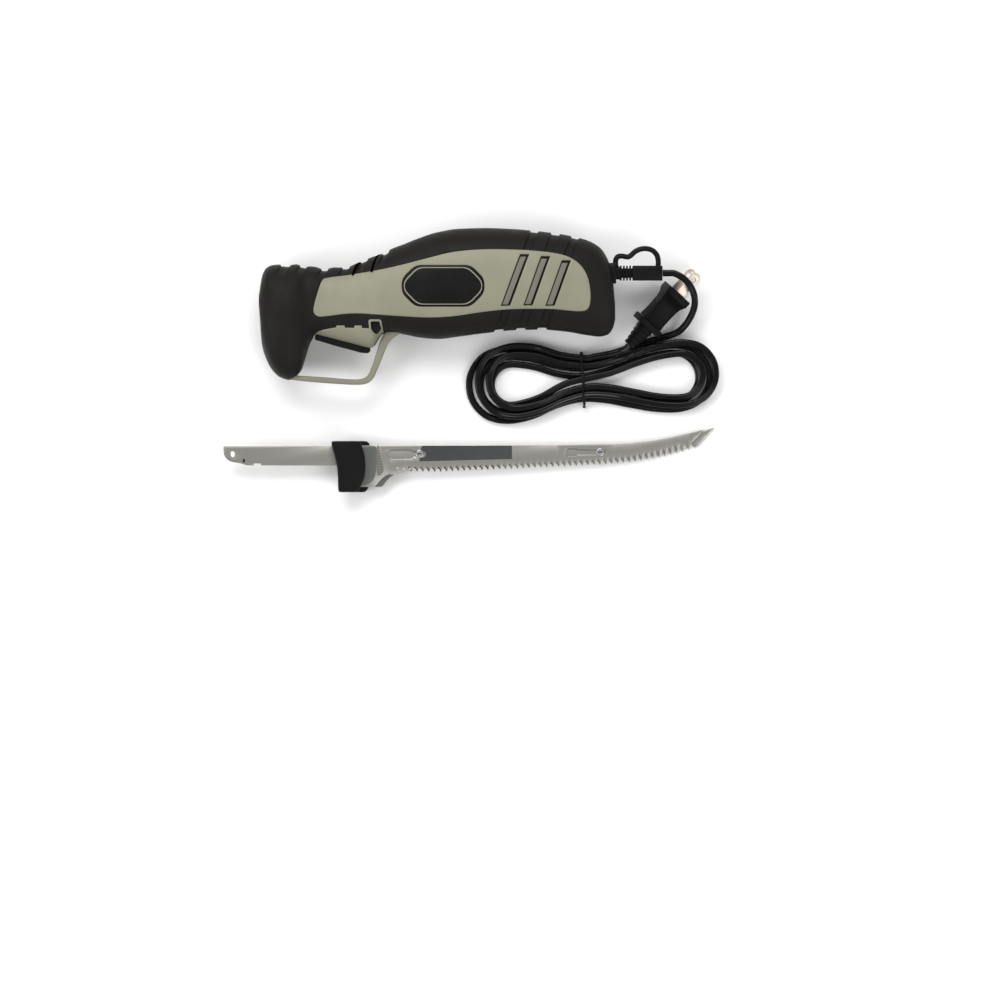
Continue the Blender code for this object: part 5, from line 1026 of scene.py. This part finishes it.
def make_handle():
    half, skirt, panel = half_outline(), skirt_loop(), sheet_loop(curved(PANEL_OUTLINE_MM), 0.7)
    rim, hole = button_loop(BUTTON_RIM_MM, 1.6), button_loop(BUTTON_HOLE_MM, 1.4)
    vents = [vent_loop(i, 0.5, 0.6) for i in range(len(VENT_TOPS_MM))]
    badge = sheet_loop(badge_outline(0.3), 0.6)
    screws = [sheet_loop(disc(place, SCREW_HOLE_RADIUS_MM), 0.6) for place in SCREW_PLACES_MM]

    for side in ("left", "right"):
        drilled = screws if side == "right" else []
        lay_piece("overmold_skin", side, "overmold_rubber", [half, panel, skirt, rim, *drilled], "overmold",
                  depth_of=groove_depth, creases=groove_creases())
        lay_piece("panel", side, "shell_plastic", [panel, badge, *vents], "housing", wall=SHELL_WALL)
        lay_piece("skirt", side, "shell_plastic", [skirt, rim], wall=SHELL_WALL)
        lay_piece("button_rim", side, "shell_plastic", [rim, hole], level=-0.15 * MM, wall=3.0 * MM,
                  drop=0.12 * MM)

        # The two thin slits across the grip's front, their strips near black as painted shade within the
        # slits
        for i, line in enumerate(FRONT_LINES_MM):
            shift = FRONT_LINE_WIDTH_MM / 2
            strip = [(x - shift, y) for x, y in line] + [(x + shift, y) for x, y in reversed(line)]
            lay_piece("grip_slit_shade", f"{side}_{i + 1}", "overmold_rubber", [sheet_loop(in_mm(strip), 0.5)],
                      finish="slit_shade_black", depth_of=groove_depth, level=-0.2 * MM, wall=0.8 * MM,
                      drop=0.05 * MM)

        # In each vent a dark channel with a strip of woven mesh set into it
        for i in range(len(VENT_TOPS_MM)):
            channel = vent_loop(i, 0.5, 0.7, 0.5, 0.5, 0.5, 0.5)
            strip = vent_loop(i, 0.4, 0.6, -0.8, -1.6, -1.7, -0.9)
            lay_piece("vent_channel", f"{side}_{i + 1}", "black_plastic", [channel], level=2.3 * MM,
                      wall=0.4 * MM, drop=0.0)
            lay_piece("screen", f"{side}_{i + 1}", "screen_mesh", [strip], "vent_screen", level=1.0 * MM,
                      wall=0.8 * MM, drop=0.1 * MM)

        # A blank black badge with a thin line near its border
        outer, wide, narrow = (to_sheet(badge_outline(grow)) for grow in (0.0, -1.2, -1.75))
        lay_piece("badge_plate", side, "black_plastic", [outer], "badge", level=-BADGE_PROUD, wall=1.3 * MM,
                  drop=0.2 * MM)
        lay_piece("badge_line", side, "shell_plastic", [wide, narrow], level=-BADGE_PROUD - 0.03 * MM,
                  wall=0.3 * MM, drop=0.0)


def skin_z(x, y):
    """Half the body's width at a side-view point."""
    centre, half_height, half_width = section(x)
    return half_width * (1 - abs((y - centre) / half_height) ** SECTION_POWER) ** (1 / SECTION_POWER)


def make_lock():
    high = skin_z(*LOCK_CORNER) - LOCK_RECESS
    lock = plate([cornered(BUTTON_FACE_MM, 1.2)], high - LOCK_LENGTH, high, 0.5 * MM)
    place_piece("lock_button_face", lock, "black_plastic", "trigger_lock_button", "lock_button")


def make_screws():
    """Cross-recessed heads at the foot of the deep holes in the right half."""
    arm, bar = CROSS_ARM_MM, CROSS_BAR_MM
    cross = [(x * c - y * s, x * s + y * c) for c, s in ((1, 0), (0, 1), (-1, 0), (0, -1))
             for x, y in ((arm, bar), (bar, bar), (bar, arm))]
    inner, outer = SCREW_HOLE_RADIUS_MM - 0.1, SCREW_HOLE_RADIUS_MM + 0.5
    for i, (x, y) in enumerate(SCREW_PLACES_MM):
        face = skin_z(x * MM, y * MM)
        top = face - SCREW_SINK
        mouth, foot = face - 1.2 * MM, top - 1.5 * MM
        levels = ((inner, mouth), (outer, mouth), (outer, foot), (inner, foot))
        tubes = [[(*p, -z) for p in disc((x, y), radius, 32)] for radius, z in levels]
        place_piece(f"screw_well_{i + 1}", lofted([*zip(*tubes)], closed=True), "black_plastic")
        recess = in_mm([(x + u, y + v) for u, v in cross])
        head = plate([disc((x, y), SCREW_HEAD_RADIUS_MM, 32), recess], -top, -top + 1.1 * MM, 0.2 * MM)
        base = plate([disc((x, y), 2.2, 32)], -top + 0.8 * MM, -top + 2.6 * MM, 0.2 * MM)
        place_piece(f"screw_{i + 1}", joined([head, base]), "bright_steel", f"housing_screw_{i + 1}")


def make_guard_and_trigger():
    guard_line = [curved(line, 5, closed=False) for line in (GUARD_OUTER_MM, GUARD_INNER_MM)]
    guard = plate([np.concatenate(guard_line)], -GUARD_HALF_WIDTH, GUARD_HALF_WIDTH, 1.1 * MM, 4)
    trigger = plate([cornered(TRIGGER_OUTLINE_MM, 0.8)], -TRIGGER_HALF_WIDTH, TRIGGER_HALF_WIDTH, 1.0 * MM, 4)
    # The guard is the shell's plastic, painted a little darker as shade
    place_piece("guard_bar", guard, "shell_plastic", "trigger_guard", finish="guard_shaded_plastic")
    place_piece("trigger_lever_body", trigger, "black_plastic", "trigger", "trigger_lever")


make_handle()
make_lock()
make_screws()
make_guard_and_trigger()


# Strain relief, plug and tie

LOOP_RADIUS_MM = 1.75
DIMPLES_MM = ((258.9, 14.9), (258.9, 12.3))
LOOP_PATH_MM = [
    (235.8, 16.0), (235.3, 20.6), (236.4, 23.6), (239.4, 24.4), (243.0, 23.8), (245.4, 24.8), (247.8, 27.0),
    (251.2, 28.8), (255.2, 29.3), (259.2, 28.3), (262.2, 25.6), (263.4, 21.8), (263.5, 16.0),
]
# Along x, half width and corner of the square rings of the flange, the bellows' core, one bellow from its
# start, and the block that the cord leaves
FLANGE_MM = ((229.0, 6.6, 2.0), (234.2, 6.9, 2.2), (235.2, 6.9, 2.2), (235.7, 6.6, 2.0))
BOOT_MM = ((229.0, 4.2, 1.6), (236.9, 4.2, 1.6), (238.0, 4.2, 1.6))
BELLOW_MM = ((0.0, 4.8, 1.6), (0.15, 4.95, 1.6), (1.0, 4.95, 1.6), (1.15, 4.8, 1.6), (1.2, 3.2, 1.4),
             (2.0, 3.2, 1.4))
BELLOW_COUNT = 4
BELLOW_PITCH_MM = 2.05
BELLOWS_START_MM = 238.2
BLOCK_START_MM = BELLOWS_START_MM + BELLOW_COUNT * BELLOW_PITCH_MM
BLOCK_MM = ((BLOCK_START_MM, 4.7, 1.6), (BLOCK_START_MM + 0.3, 4.95, 1.6), (265.6, 4.95, 1.6),
            (266.1, 4.8, 1.6), (266.3, 4.4, 1.4))
# Along the plug, half width, half depth and corner of its rings, in front of its five ribs
PLUG_BODY_MM = [
    (16.1, 9.2, 8.7, 1.6), (16.5, 9.75, 9.25, 1.9), (20.1, 9.75, 9.25, 1.9), (20.5, 9.2, 8.7, 1.6),
    (20.7, 7.2, 7.5, 1.6), (24.0, 6.8, 7.25, 1.6), (30.0, 6.6, 7.2, 1.6), (36.0, 6.8, 7.3, 1.6),
    (39.5, 7.4, 7.7, 1.6), (41.6, 8.5, 8.3, 1.6), (43.0, 9.6, 8.95, 1.9), (47.0, 9.85, 9.1, 1.9),
    (47.5, 9.4, 8.7, 1.7),
]
RIB_COUNT = 5
RIB_PITCH_MM = 3.25
# Half width of the first rib, how much each next one grows, and a rib's rings from its start
RIB_HALF_MM = 3.7
RIB_GROWTH_MM = 0.36
RIB_MM = ((0.0, -0.2, 1.9), (0.3, 0.0, 2.0), (2.3, 0.12, 2.0), (2.5, -0.25, 1.8), (3.1, -0.22, 1.8))
PRONG_HALF_WIDTH_MM = 3.175
PRONG_HALF_DEPTH = 0.75 * MM
PRONG_SPACING = 12.7 * MM
PRONG_START_MM = 47.2
PRONG_END_MM = 65.3
PRONG_HOLE_MM = (PRONG_END_MM - 5.0, 0.0)
PRONG_HOLE_RADIUS_MM = 1.6
# Distance from a prong's end, and share of its half width there
PRONG_TIP = ((3.0, 1.0), (1.4, 0.82), (0.4, 0.5), (0.0, 0.2))
TIE_CLEARANCE = 0.9 * MM
TIE_CORNER = 2.6 * MM
TIE_TWIST = 0.16
# The tie's half width, half depth and corner, and the steps of a corner
TIE_SECTION_MM = (0.95, 0.4, 0.3, 2)


def make_relief():
    def square(rings):
        return lofted([[(x * MM, CORD_EXIT_Y_MM * MM + v, w) for v, w in rounded_mm(half, half, corner)]
                       for x, half, corner in rings])

    bellows = [(BELLOWS_START_MM + BELLOW_PITCH_MM * k + x, half, corner)
               for k in range(BELLOW_COUNT) for x, half, corner in BELLOW_MM]
    place_piece("relief_boot", square([*BOOT_MM, *bellows, *BLOCK_MM]), "black_plastic", "strain_relief")
    place_piece("relief_flange", square(FLANGE_MM), "black_plastic")
    path = [Vector((*p, 0)) for p in curved(LOOP_PATH_MM, 5, closed=False)]
    place_piece("hanging_loop", swept(path, disc((0, 0), LOOP_RADIUS_MM, 12), UPWARD), "black_plastic")
    for i, centre in enumerate(DIMPLES_MM):
        spot = plate([disc(centre, 0.55, 16)], 4.9 * MM, 4.98 * MM, 0.02 * MM, 1)
        place_piece(f"relief_dimple_{i + 1}", spot, "cord_rubber")


def make_plug():
    heading, width, depth = plug_axes()
    sections = []
    for k in range(RIB_COUNT):
        half = RIB_HALF_MM + RIB_GROWTH_MM * k
        sections += [(RIB_PITCH_MM * k + x, half + more, half + more, corner) for x, more, corner in RIB_MM]
    rings = [[PLUG_REAR + heading * x * MM + width * v + depth * w for v, w in rounded_mm(*sizes)]
             for x, *sizes in sections + PLUG_BODY_MM]
    place_piece("plug_shell", lofted(rings, 30), "black_plastic", "plug_body", finish="plug_plastic",
                at=WORLD_FRAME)

    edge = [(PRONG_START_MM, -PRONG_HALF_WIDTH_MM)]
    edge += [(PRONG_END_MM - back, -PRONG_HALF_WIDTH_MM * share) for back, share in PRONG_TIP]
    outline = in_mm(edge + [(x, -y) for x, y in reversed(edge)])
    hole = disc(PRONG_HOLE_MM, PRONG_HOLE_RADIUS_MM)
    turn = Matrix((heading, depth, width)).transposed().to_4x4()
    for i, side in enumerate((0.5, -0.5)):
        prong = plate([outline, hole], -PRONG_HALF_DEPTH, PRONG_HALF_DEPTH, 0.25 * MM)
        prong.flip_normals()
        place_piece(f"prong_{i + 1}", prong, "brass", f"plug_prong_{i + 1}",
                    at=Matrix.Translation(PLUG_REAR + width * side * PRONG_SPACING) @ turn)


def make_tie():
    """A flat wire tie over the hank's waist."""
    turn = Matrix.Rotation(-HANK_TILT, 3, "Z")
    local = [turn @ (p - Vector((*HANK_CENTRE, 0))) for p in hank_points()]
    reach = [abs(a.lerp(b, (HANK_TIE_X - a.x) / (b.x - a.x)).y) for a, b in zip(local, local[1:])
             if (a.x - HANK_TIE_X) * (b.x - HANK_TIE_X) < 0]
    half = max(reach) + CORD_DIAMETER / 2 + TIE_CLEARANCE
    top = CORD_DIAMETER + HANK_LIFT + HANK_LAYER_RISE + TIE_CLEARANCE
    line = [(half, 0.8 * MM), (half + 0.1 * MM, top * 0.5), (half - 0.2 * MM, top - TIE_CORNER),
            (half - TIE_CORNER, top - 0.2 * MM), (half * 0.5, top), (0.0, top - 0.3 * MM)]
    line += [(-y, z) for y, z in line[-2::-1]]
    knots = [(HANK_TIE_X + 0.5 * MM * math.sin(9 * k), y, z) for k, (y, z) in enumerate(line)]
    band = swept(smooth_through(knots, 10), rounded_mm(*TIE_SECTION_MM), Vector((1, 0, 0)),
                 lambda i: TIE_TWIST * i)
    place_piece("wire_tie", band, "black_plastic", "cord_tie",
                at=Matrix.Translation((*HANK_CENTRE, 0)) @ Matrix.Rotation(HANK_TILT, 4, "Z"))


make_relief()
make_plug()
make_tie()
make_cord()


# Blades: the model's outlines, what is stamped and etched on the front one, and painted shade on both

BLADE_THICKNESS = 1.1 * MM
REAR_BLADE_Z = BLADE_LIFT_MM * MM
FRONT_BLADE_Z = 9.75 * MM
REAR_BLADE_TOP = REAR_BLADE_Z + BLADE_THICKNESS
FRONT_BLADE_TOP = FRONT_BLADE_Z + BLADE_THICKNESS
FRONT_HILT_Z = 11.15 * MM
HILT_HEIGHT = 8.0 * MM
TOOTH_PITCH_MM = 3.9
TOOTH_DEPTH_MM = 2.3
TEETH_START_MM = 120.2
TEETH_END_MM = 306.0
NEAR_TEETH = range(1, 17)
FAR_TEETH = range(17, 47)
# Share of the pitch, and of the depth there, along one scalloped tooth; the gullet lies at the deepest one
TOOTH_SHAPE = ((0.0, 0.0), (0.1, 0.25), (0.22, 0.62), (0.36, 0.92), (0.52, 1.0), (0.68, 0.9), (0.82, 0.55),
               (0.93, 0.18))
GULLET_SHARE = 0.52
GULLET_REACH = 1.6 * MM
GULLET_FALL = 0.2 * MM
GRIND_WIDTH = 5.6 * MM
GRIND_FALL = 0.36 * MM
# Height above the cutting edge, spacing and end of the lines along which the grind is drawn
GRIND_LINES_MM = ((2.5, 0.55, 304.0), (3.4, 0.8, 303.0), (5.6, 2.0, 300.0))
GRIND_LINES_START_MM = 121.0
BLADE_EDGE_MM = [
    (120.0, -10.8), (136.8, -11.2), (183.0, -9.4), (249.0, -6.2), (268.5, -4.2), (283.2, -1.5),
    (295.9, 1.7), (306.0, 5.0),
]
BLADE_TIP_MM = [(308.8, 7.4), (313.2, 12.0), (316.4, 15.7), (317.6, 17.1)]
REAR_TIP_MM = [(308.8, 7.4), (313.0, 12.2), (316.8, 16.5), (318.4, 18.3)]
BLADE_CURVE_MM = [(305.3, 14.0), (289.5, 10.7), (273.8, 8.5), (257.9, 7.4), (215.0, 6.6)]
BLADE_BACK_MM = [(101.2, 6.2), (71.0, 6.2), (0.8, 6.2), (0.0, 5.4)]
REAR_BACK_MM = [(101.2, 6.2), (71.0, 6.2), (4.4, 6.2), (2.8, 4.4)]
TANG_END_MM = [
    (0.2, 0.5), (1.0, -1.3), (2.4, -2.9), (4.0, -4.0), (5.8, -4.6), (11.4, -5.5), (15.6, -6.9),
    (20.2, -6.9), (20.2, -5.6), (24.9, -5.6), (24.9, -6.9),
]
BLADE_HEEL_MM = [
    (71.0, -6.9), (87.0, -6.9), (87.0, -21.1), (98.2, -21.1), (99.6, -20.9), (101.0, -19.9), (102.6, -17.8),
    (105.0, -15.2), (107.2, -13.6), (109.4, -12.5), (113.3, -11.4),
]
REAR_TANG_MM = [(2.8, 0.0), (2.8, -2.0), (4.6, -4.0), (9.0, -5.0), (13.6, -5.6), (20.0, -5.6), (20.0, -6.9)]
HILT_OUTLINE_MM = [
    (71.3, 7.4), (71.6, 8.6), (72.8, 9.2), (80.0, 9.2), (87.9, 9.2), (89.7, 8.5), (90.9, 6.7), (92.5, 2.0),
    (93.4, -3.2), (93.6, -8.6), (93.0, -14.1), (91.3, -19.0), (89.3, -22.8), (87.2, -24.4), (82.0, -24.5),
    (77.2, -24.5), (76.0, -23.6), (75.7, -21.0), (75.5, -14.1), (74.9, -7.5), (73.8, -2.1), (72.4, 2.9),
]
HEEL_PLATE_MM = [
    (86.0, 6.1), (101.3, 6.1), (101.2, -9.9), (99.9, -15.2), (97.4, -18.6), (93.4, -20.4), (86.0, -20.9),
]
RACK_MM = [
    (101.5, 5.4), (102.9, 5.2), (103.6, -1.0), (105.4, -6.4), (106.0, -9.6), (104.6, -12.6), (102.0, -13.6),
    (101.5, -9.6),
]
# The rear blade's heel where it shows beyond the front one, painted darker as the shade it lies in
REAR_HEEL_SHADE_MM = [
    (93.2, -20.9), (98.3, -20.9), (99.5, -20.2), (101.9, -17.2), (104.5, -14.6), (106.6, -13.3),
    (103.9, -12.6), (99.2, -14.4), (95.4, -18.2),
]
# Corners, from a tooth's tip, of the patch of painted shade on its left flank
TOOTH_SHADE_MM = [
    (-1.9, 2.45), (-1.2, 2.2), (-0.62, 1.3), (-0.2, 0.5), (0.05, 0.25), (0.42, 0.75), (0.1, 1.4),
    (-0.5, 2.2), (-1.2, 2.9), (-1.9, 3.0),
]
BAND_MM = [
    (131.4, 6.1), (130.4, 3.6), (131.4, 2.9), (132.7, 2.4), (133.5, 1.6), (133.8, 0.7), (133.5, -0.3),
    (132.7, -1.1), (131.4, -1.5), (129.8, -2.2), (129.3, -4.2), (190.7, -2.7), (190.6, 6.1),
]
HEEL_DOTS_MM = [(115.3, -8.6), (119.1, -8.9), (123.5, -9.2)]
RIVETS_MM = [(129.6, 0.7), (249.0, 1.9)]
# The keyhole slots: the wide ends' places, the narrow parts' ends, and the radii of both
FIRST_WIDE_MM = ((111.3, 0.5), (123.0, 0.5))
SECOND_WIDE_MM = [
    (227.6, 4.3), (226.9, 3.9), (226.6, 3.1), (226.6, 0.4), (226.9, -0.5), (227.8, -0.8), (232.8, -0.8),
    (233.6, -0.4), (233.8, 0.2),
]
SECOND_CLOSE_MM = [(233.8, 3.6), (233.2, 4.3)]
SLOT_ENDS_MM = ((131.6, 0.7), (251.0, 1.9))
WIDE_RADIUS_MM = 3.1
NARROW_RADIUS_MM = 1.7
RIVET_RADIUS_MM = 2.6
RIVET_SHAFT_MM = 1.4
TANG_HOLE_MM = (6.2, 0.6)
TANG_HOLE_RADIUS_MM = 1.3
TANG_HOLE_STRETCH = 1.9 / 1.3
EDGE_LINE = in_mm(BLADE_EDGE_MM)


def edge_height_mm(x_mm):
    return np.interp(x_mm, *np.array(BLADE_EDGE_MM).T)


def ground(points, first_tooth):
    """How far each face falls towards the cutting edge: a flat grind and a scallop at each gullet."""
    x, y = points.T
    fall = GRIND_FALL * np.clip(1 - distance_to(EDGE_LINE, points, closed=False) / GRIND_WIDTH, 0, 1)
    share = ((x / MM - first_tooth) / TOOTH_PITCH_MM) % 1.0
    above = y - np.interp(x, *EDGE_LINE.T) - TOOTH_DEPTH_MM * MM
    away = np.hypot((share - GULLET_SHARE) * TOOTH_PITCH_MM * MM, above)
    toothed = (x > first_tooth * MM) & (x < TEETH_END_MM * MM)
    return fall + np.where(toothed, GULLET_FALL * np.clip(1 - away / GULLET_REACH, 0, 1), 0.0)


def blade_mesh(low, tang, back, first_tooth, tip, slots):
    """One blade with scalloped teeth along its edge, ground towards it."""
    teeth = []
    x = first_tooth
    while x < TEETH_END_MM - TOOTH_PITCH_MM / 2:
        places = [(x + share * TOOTH_PITCH_MM, lift * TOOTH_DEPTH_MM) for share, lift in TOOTH_SHAPE]
        teeth += [(at, edge_height_mm(at) + lift) for at, lift in places]
        x += TOOTH_PITCH_MM
    teeth.append((x, edge_height_mm(x)))
    curve = [tuple(p) for p in smooth_through([tip[-1], *BLADE_CURVE_MM], 6)]
    lines = []
    for height, spacing, end in GRIND_LINES_MM:
        xs = np.arange(GRIND_LINES_START_MM * MM, end * MM, spacing * MM)
        lines.append(np.stack((xs, np.interp(xs, *EDGE_LINE.T) + height * MM), axis=-1))
    outline = in_mm(tang + teeth + tip[:-1] + curve + back)
    return plate([outline, *slots], low, low + BLADE_THICKNESS, 0.09 * MM, 2, lines,
                 lambda points: ground(points, first_tooth), 25)


def tooth_painted_shade(teeth):
    """A thin dark plate on each tooth's left flank, sunk with the grind: painted shade where the scallop
    falls away.
    """
    made = []
    for k in teeth:
        x = TEETH_START_MM + k * TOOTH_PITCH_MM
        corners = in_mm([(x + u, edge_height_mm(x) + v) for u, v in TOOTH_SHADE_MM])
        made.append(plate([corners], FRONT_BLADE_Z + 0.1 * MM, FRONT_BLADE_TOP + 0.05 * MM, 0.01 * MM, 1,
                          sink=lambda points: ground(points, TEETH_START_MM), angle=25))
    return joined(made, 25)


def front_piece(name, mesh, slot="blade_steel", stands_for=None, finish=None):
    place_piece(name, mesh, slot, stands_for, "front_blade", finish, BLADE_FRAME)


def mark(outline, top, under_mm, over_mm, rounding_mm, steps):
    """A thin plate on a face, from a little under it to a little over it."""
    return plate([outline], top - under_mm * MM, top + over_mm * MM, rounding_mm * MM, steps)


def make_marks():
    """What is stamped and etched on the front blade's face, and painted shade in its tang's slit."""
    steel, black = "blade_steel", "black_plastic"
    marks = [
        ("heel_plate", steel, "heel_steel", cornered(HEEL_PLATE_MM, 2.5), 0.05, 0.25, 0.1, 3),
        # A small black patch on the tang: painted shade standing for a slit
        ("tang_mark", black, None, box((13.55, -3.75), 0.65, 1.15), 0.05, 0.02, 0.02, 1),
        # The heel's rack, its ribs painted as stripes of light and shade
        ("heel_rack", steel, "ribbed_steel", curved(RACK_MM, 3), 0.05, 0.1, 0.05, 1),
        ("etched_band", steel, "etched_steel", in_mm(BAND_MM), 0.03, 0.03, 0.01, 1),
    ]
    marks += [(f"heel_dot_{i + 1}", steel, "bright_spot", disc(centre, 0.75, 20), 0.03, 0.08, 0.07, 3)
              for i, centre in enumerate(HEEL_DOTS_MM)]
    for name, slot, finish, outline, *reach in marks:
        front_piece(name, mark(outline, FRONT_BLADE_TOP, *reach), slot, finish=finish)


def round_end(centre_mm, radius_mm, first, last):
    """Points in millimetres along an arc between two angles in degrees."""
    turns = np.radians(np.linspace(first, last, 9))
    return [(centre_mm[0] + radius_mm * math.cos(a), centre_mm[1] + radius_mm * math.sin(a)) for a in turns]


def keyhole(wide, end, wide_close):
    """A slot that lets a rivet's head through at its wide end and holds its shank along the narrow one."""
    return in_mm(wide + round_end(end, NARROW_RADIUS_MM, -90, 90) + wide_close)


def make_blades():
    hole = disc(TANG_HOLE_MM, TANG_HOLE_RADIUS_MM, stretch=TANG_HOLE_STRETCH)
    near, far = FIRST_WIDE_MM
    wide = round_end(near, WIDE_RADIUS_MM, 90, 270) + round_end(far, WIDE_RADIUS_MM, 270, 331)
    slots = [keyhole(wide, SLOT_ENDS_MM[0], round_end(far, WIDE_RADIUS_MM, 41, 90)),
             keyhole(SECOND_WIDE_MM, SLOT_ENDS_MM[1], SECOND_CLOSE_MM)]
    front = blade_mesh(FRONT_BLADE_Z, TANG_END_MM + BLADE_HEEL_MM, BLADE_BACK_MM, TEETH_START_MM,
                       BLADE_TIP_MM, [hole, *slots])
    front_piece("front_blade_steel", front, stands_for="blade_front")
    rear_start = TEETH_START_MM - BLADE_STAGGER / MM % TOOTH_PITCH_MM
    rear = blade_mesh(REAR_BLADE_Z, REAR_TANG_MM + BLADE_HEEL_MM, REAR_BACK_MM, rear_start, REAR_TIP_MM, [])
    place_piece("rear_blade_steel", rear, "blade_steel", "blade_rear", at=REAR_FRAME)

    # Painted shade on the rear blade's heel beyond the front blade's heel
    heel_painted_shade = mark(in_mm(REAR_HEEL_SHADE_MM), REAR_BLADE_TOP, 0.1, 0.03, 0.01, 1)
    place_piece("rear_heel_painted_shade", heel_painted_shade, "blade_steel", finish="heel_steel", at=REAR_FRAME)
    # Painted shade on the teeth's left flanks: dark on the first teeth, fainter on the rest
    front_piece("tooth_painted_shade", tooth_painted_shade(NEAR_TEETH), finish="tooth_shade_steel")
    front_piece("tooth_painted_shade_far", tooth_painted_shade(FAR_TEETH), finish="heel_steel")
    make_marks()
    for i, centre in enumerate(RIVETS_MM):
        make_rivet(i + 1, centre)

    outline = [curved(HILT_OUTLINE_MM, 5)]
    lower, upper = (plate(outline, z, z + HILT_HEIGHT, 0.9 * MM, 4) for z in (0.0, FRONT_HILT_Z))
    place_piece("rear_hilt_block", lower, "black_plastic", "hilt_rear", at=REAR_FRAME)
    front_piece("front_hilt_block", upper, "black_plastic", "hilt_front")


def make_rivet(number, centre_mm):
    """A shouldered rivet: a domed head with a slot above, a flat head below."""
    foot, head = REAR_BLADE_Z - 0.3 * MM, FRONT_BLADE_TOP + 0.3 * MM
    wide, shaft = RIVET_RADIUS_MM, RIVET_SHAFT_MM
    profile = [(foot - 0.7 * MM, 2.3), (foot - 0.5 * MM, wide), (foot, wide), (foot, shaft), (head, shaft),
               (head, 2.55), (head + 0.2 * MM, wide)]
    shank = lofted([[(x, y, z) for x, y in disc(centre_mm, radius, 32)] for z, radius in profile])
    slot = box(centre_mm, 1.7, 0.35)
    cap = plate([disc(centre_mm, RIVET_RADIUS_MM, 32), slot], head + 0.1 * MM, head + 0.7 * MM, 0.3 * MM, 4)
    # A black plate under the head's slot: painted shade deep in the slot
    floor = plate([box(centre_mm, 2.0, 0.6)], head + 0.15 * MM, head + 0.3 * MM, 0.02 * MM, 1)
    place_piece(f"rivet_slot_shade_{number}", floor, "black_plastic", at=BLADE_FRAME)
    place_piece(f"rivet_{number}", joined([shank, cap]), "bright_steel", f"blade_rivet_{number}",
                at=BLADE_FRAME)


make_blades()


def finish():
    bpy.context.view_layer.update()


finish()
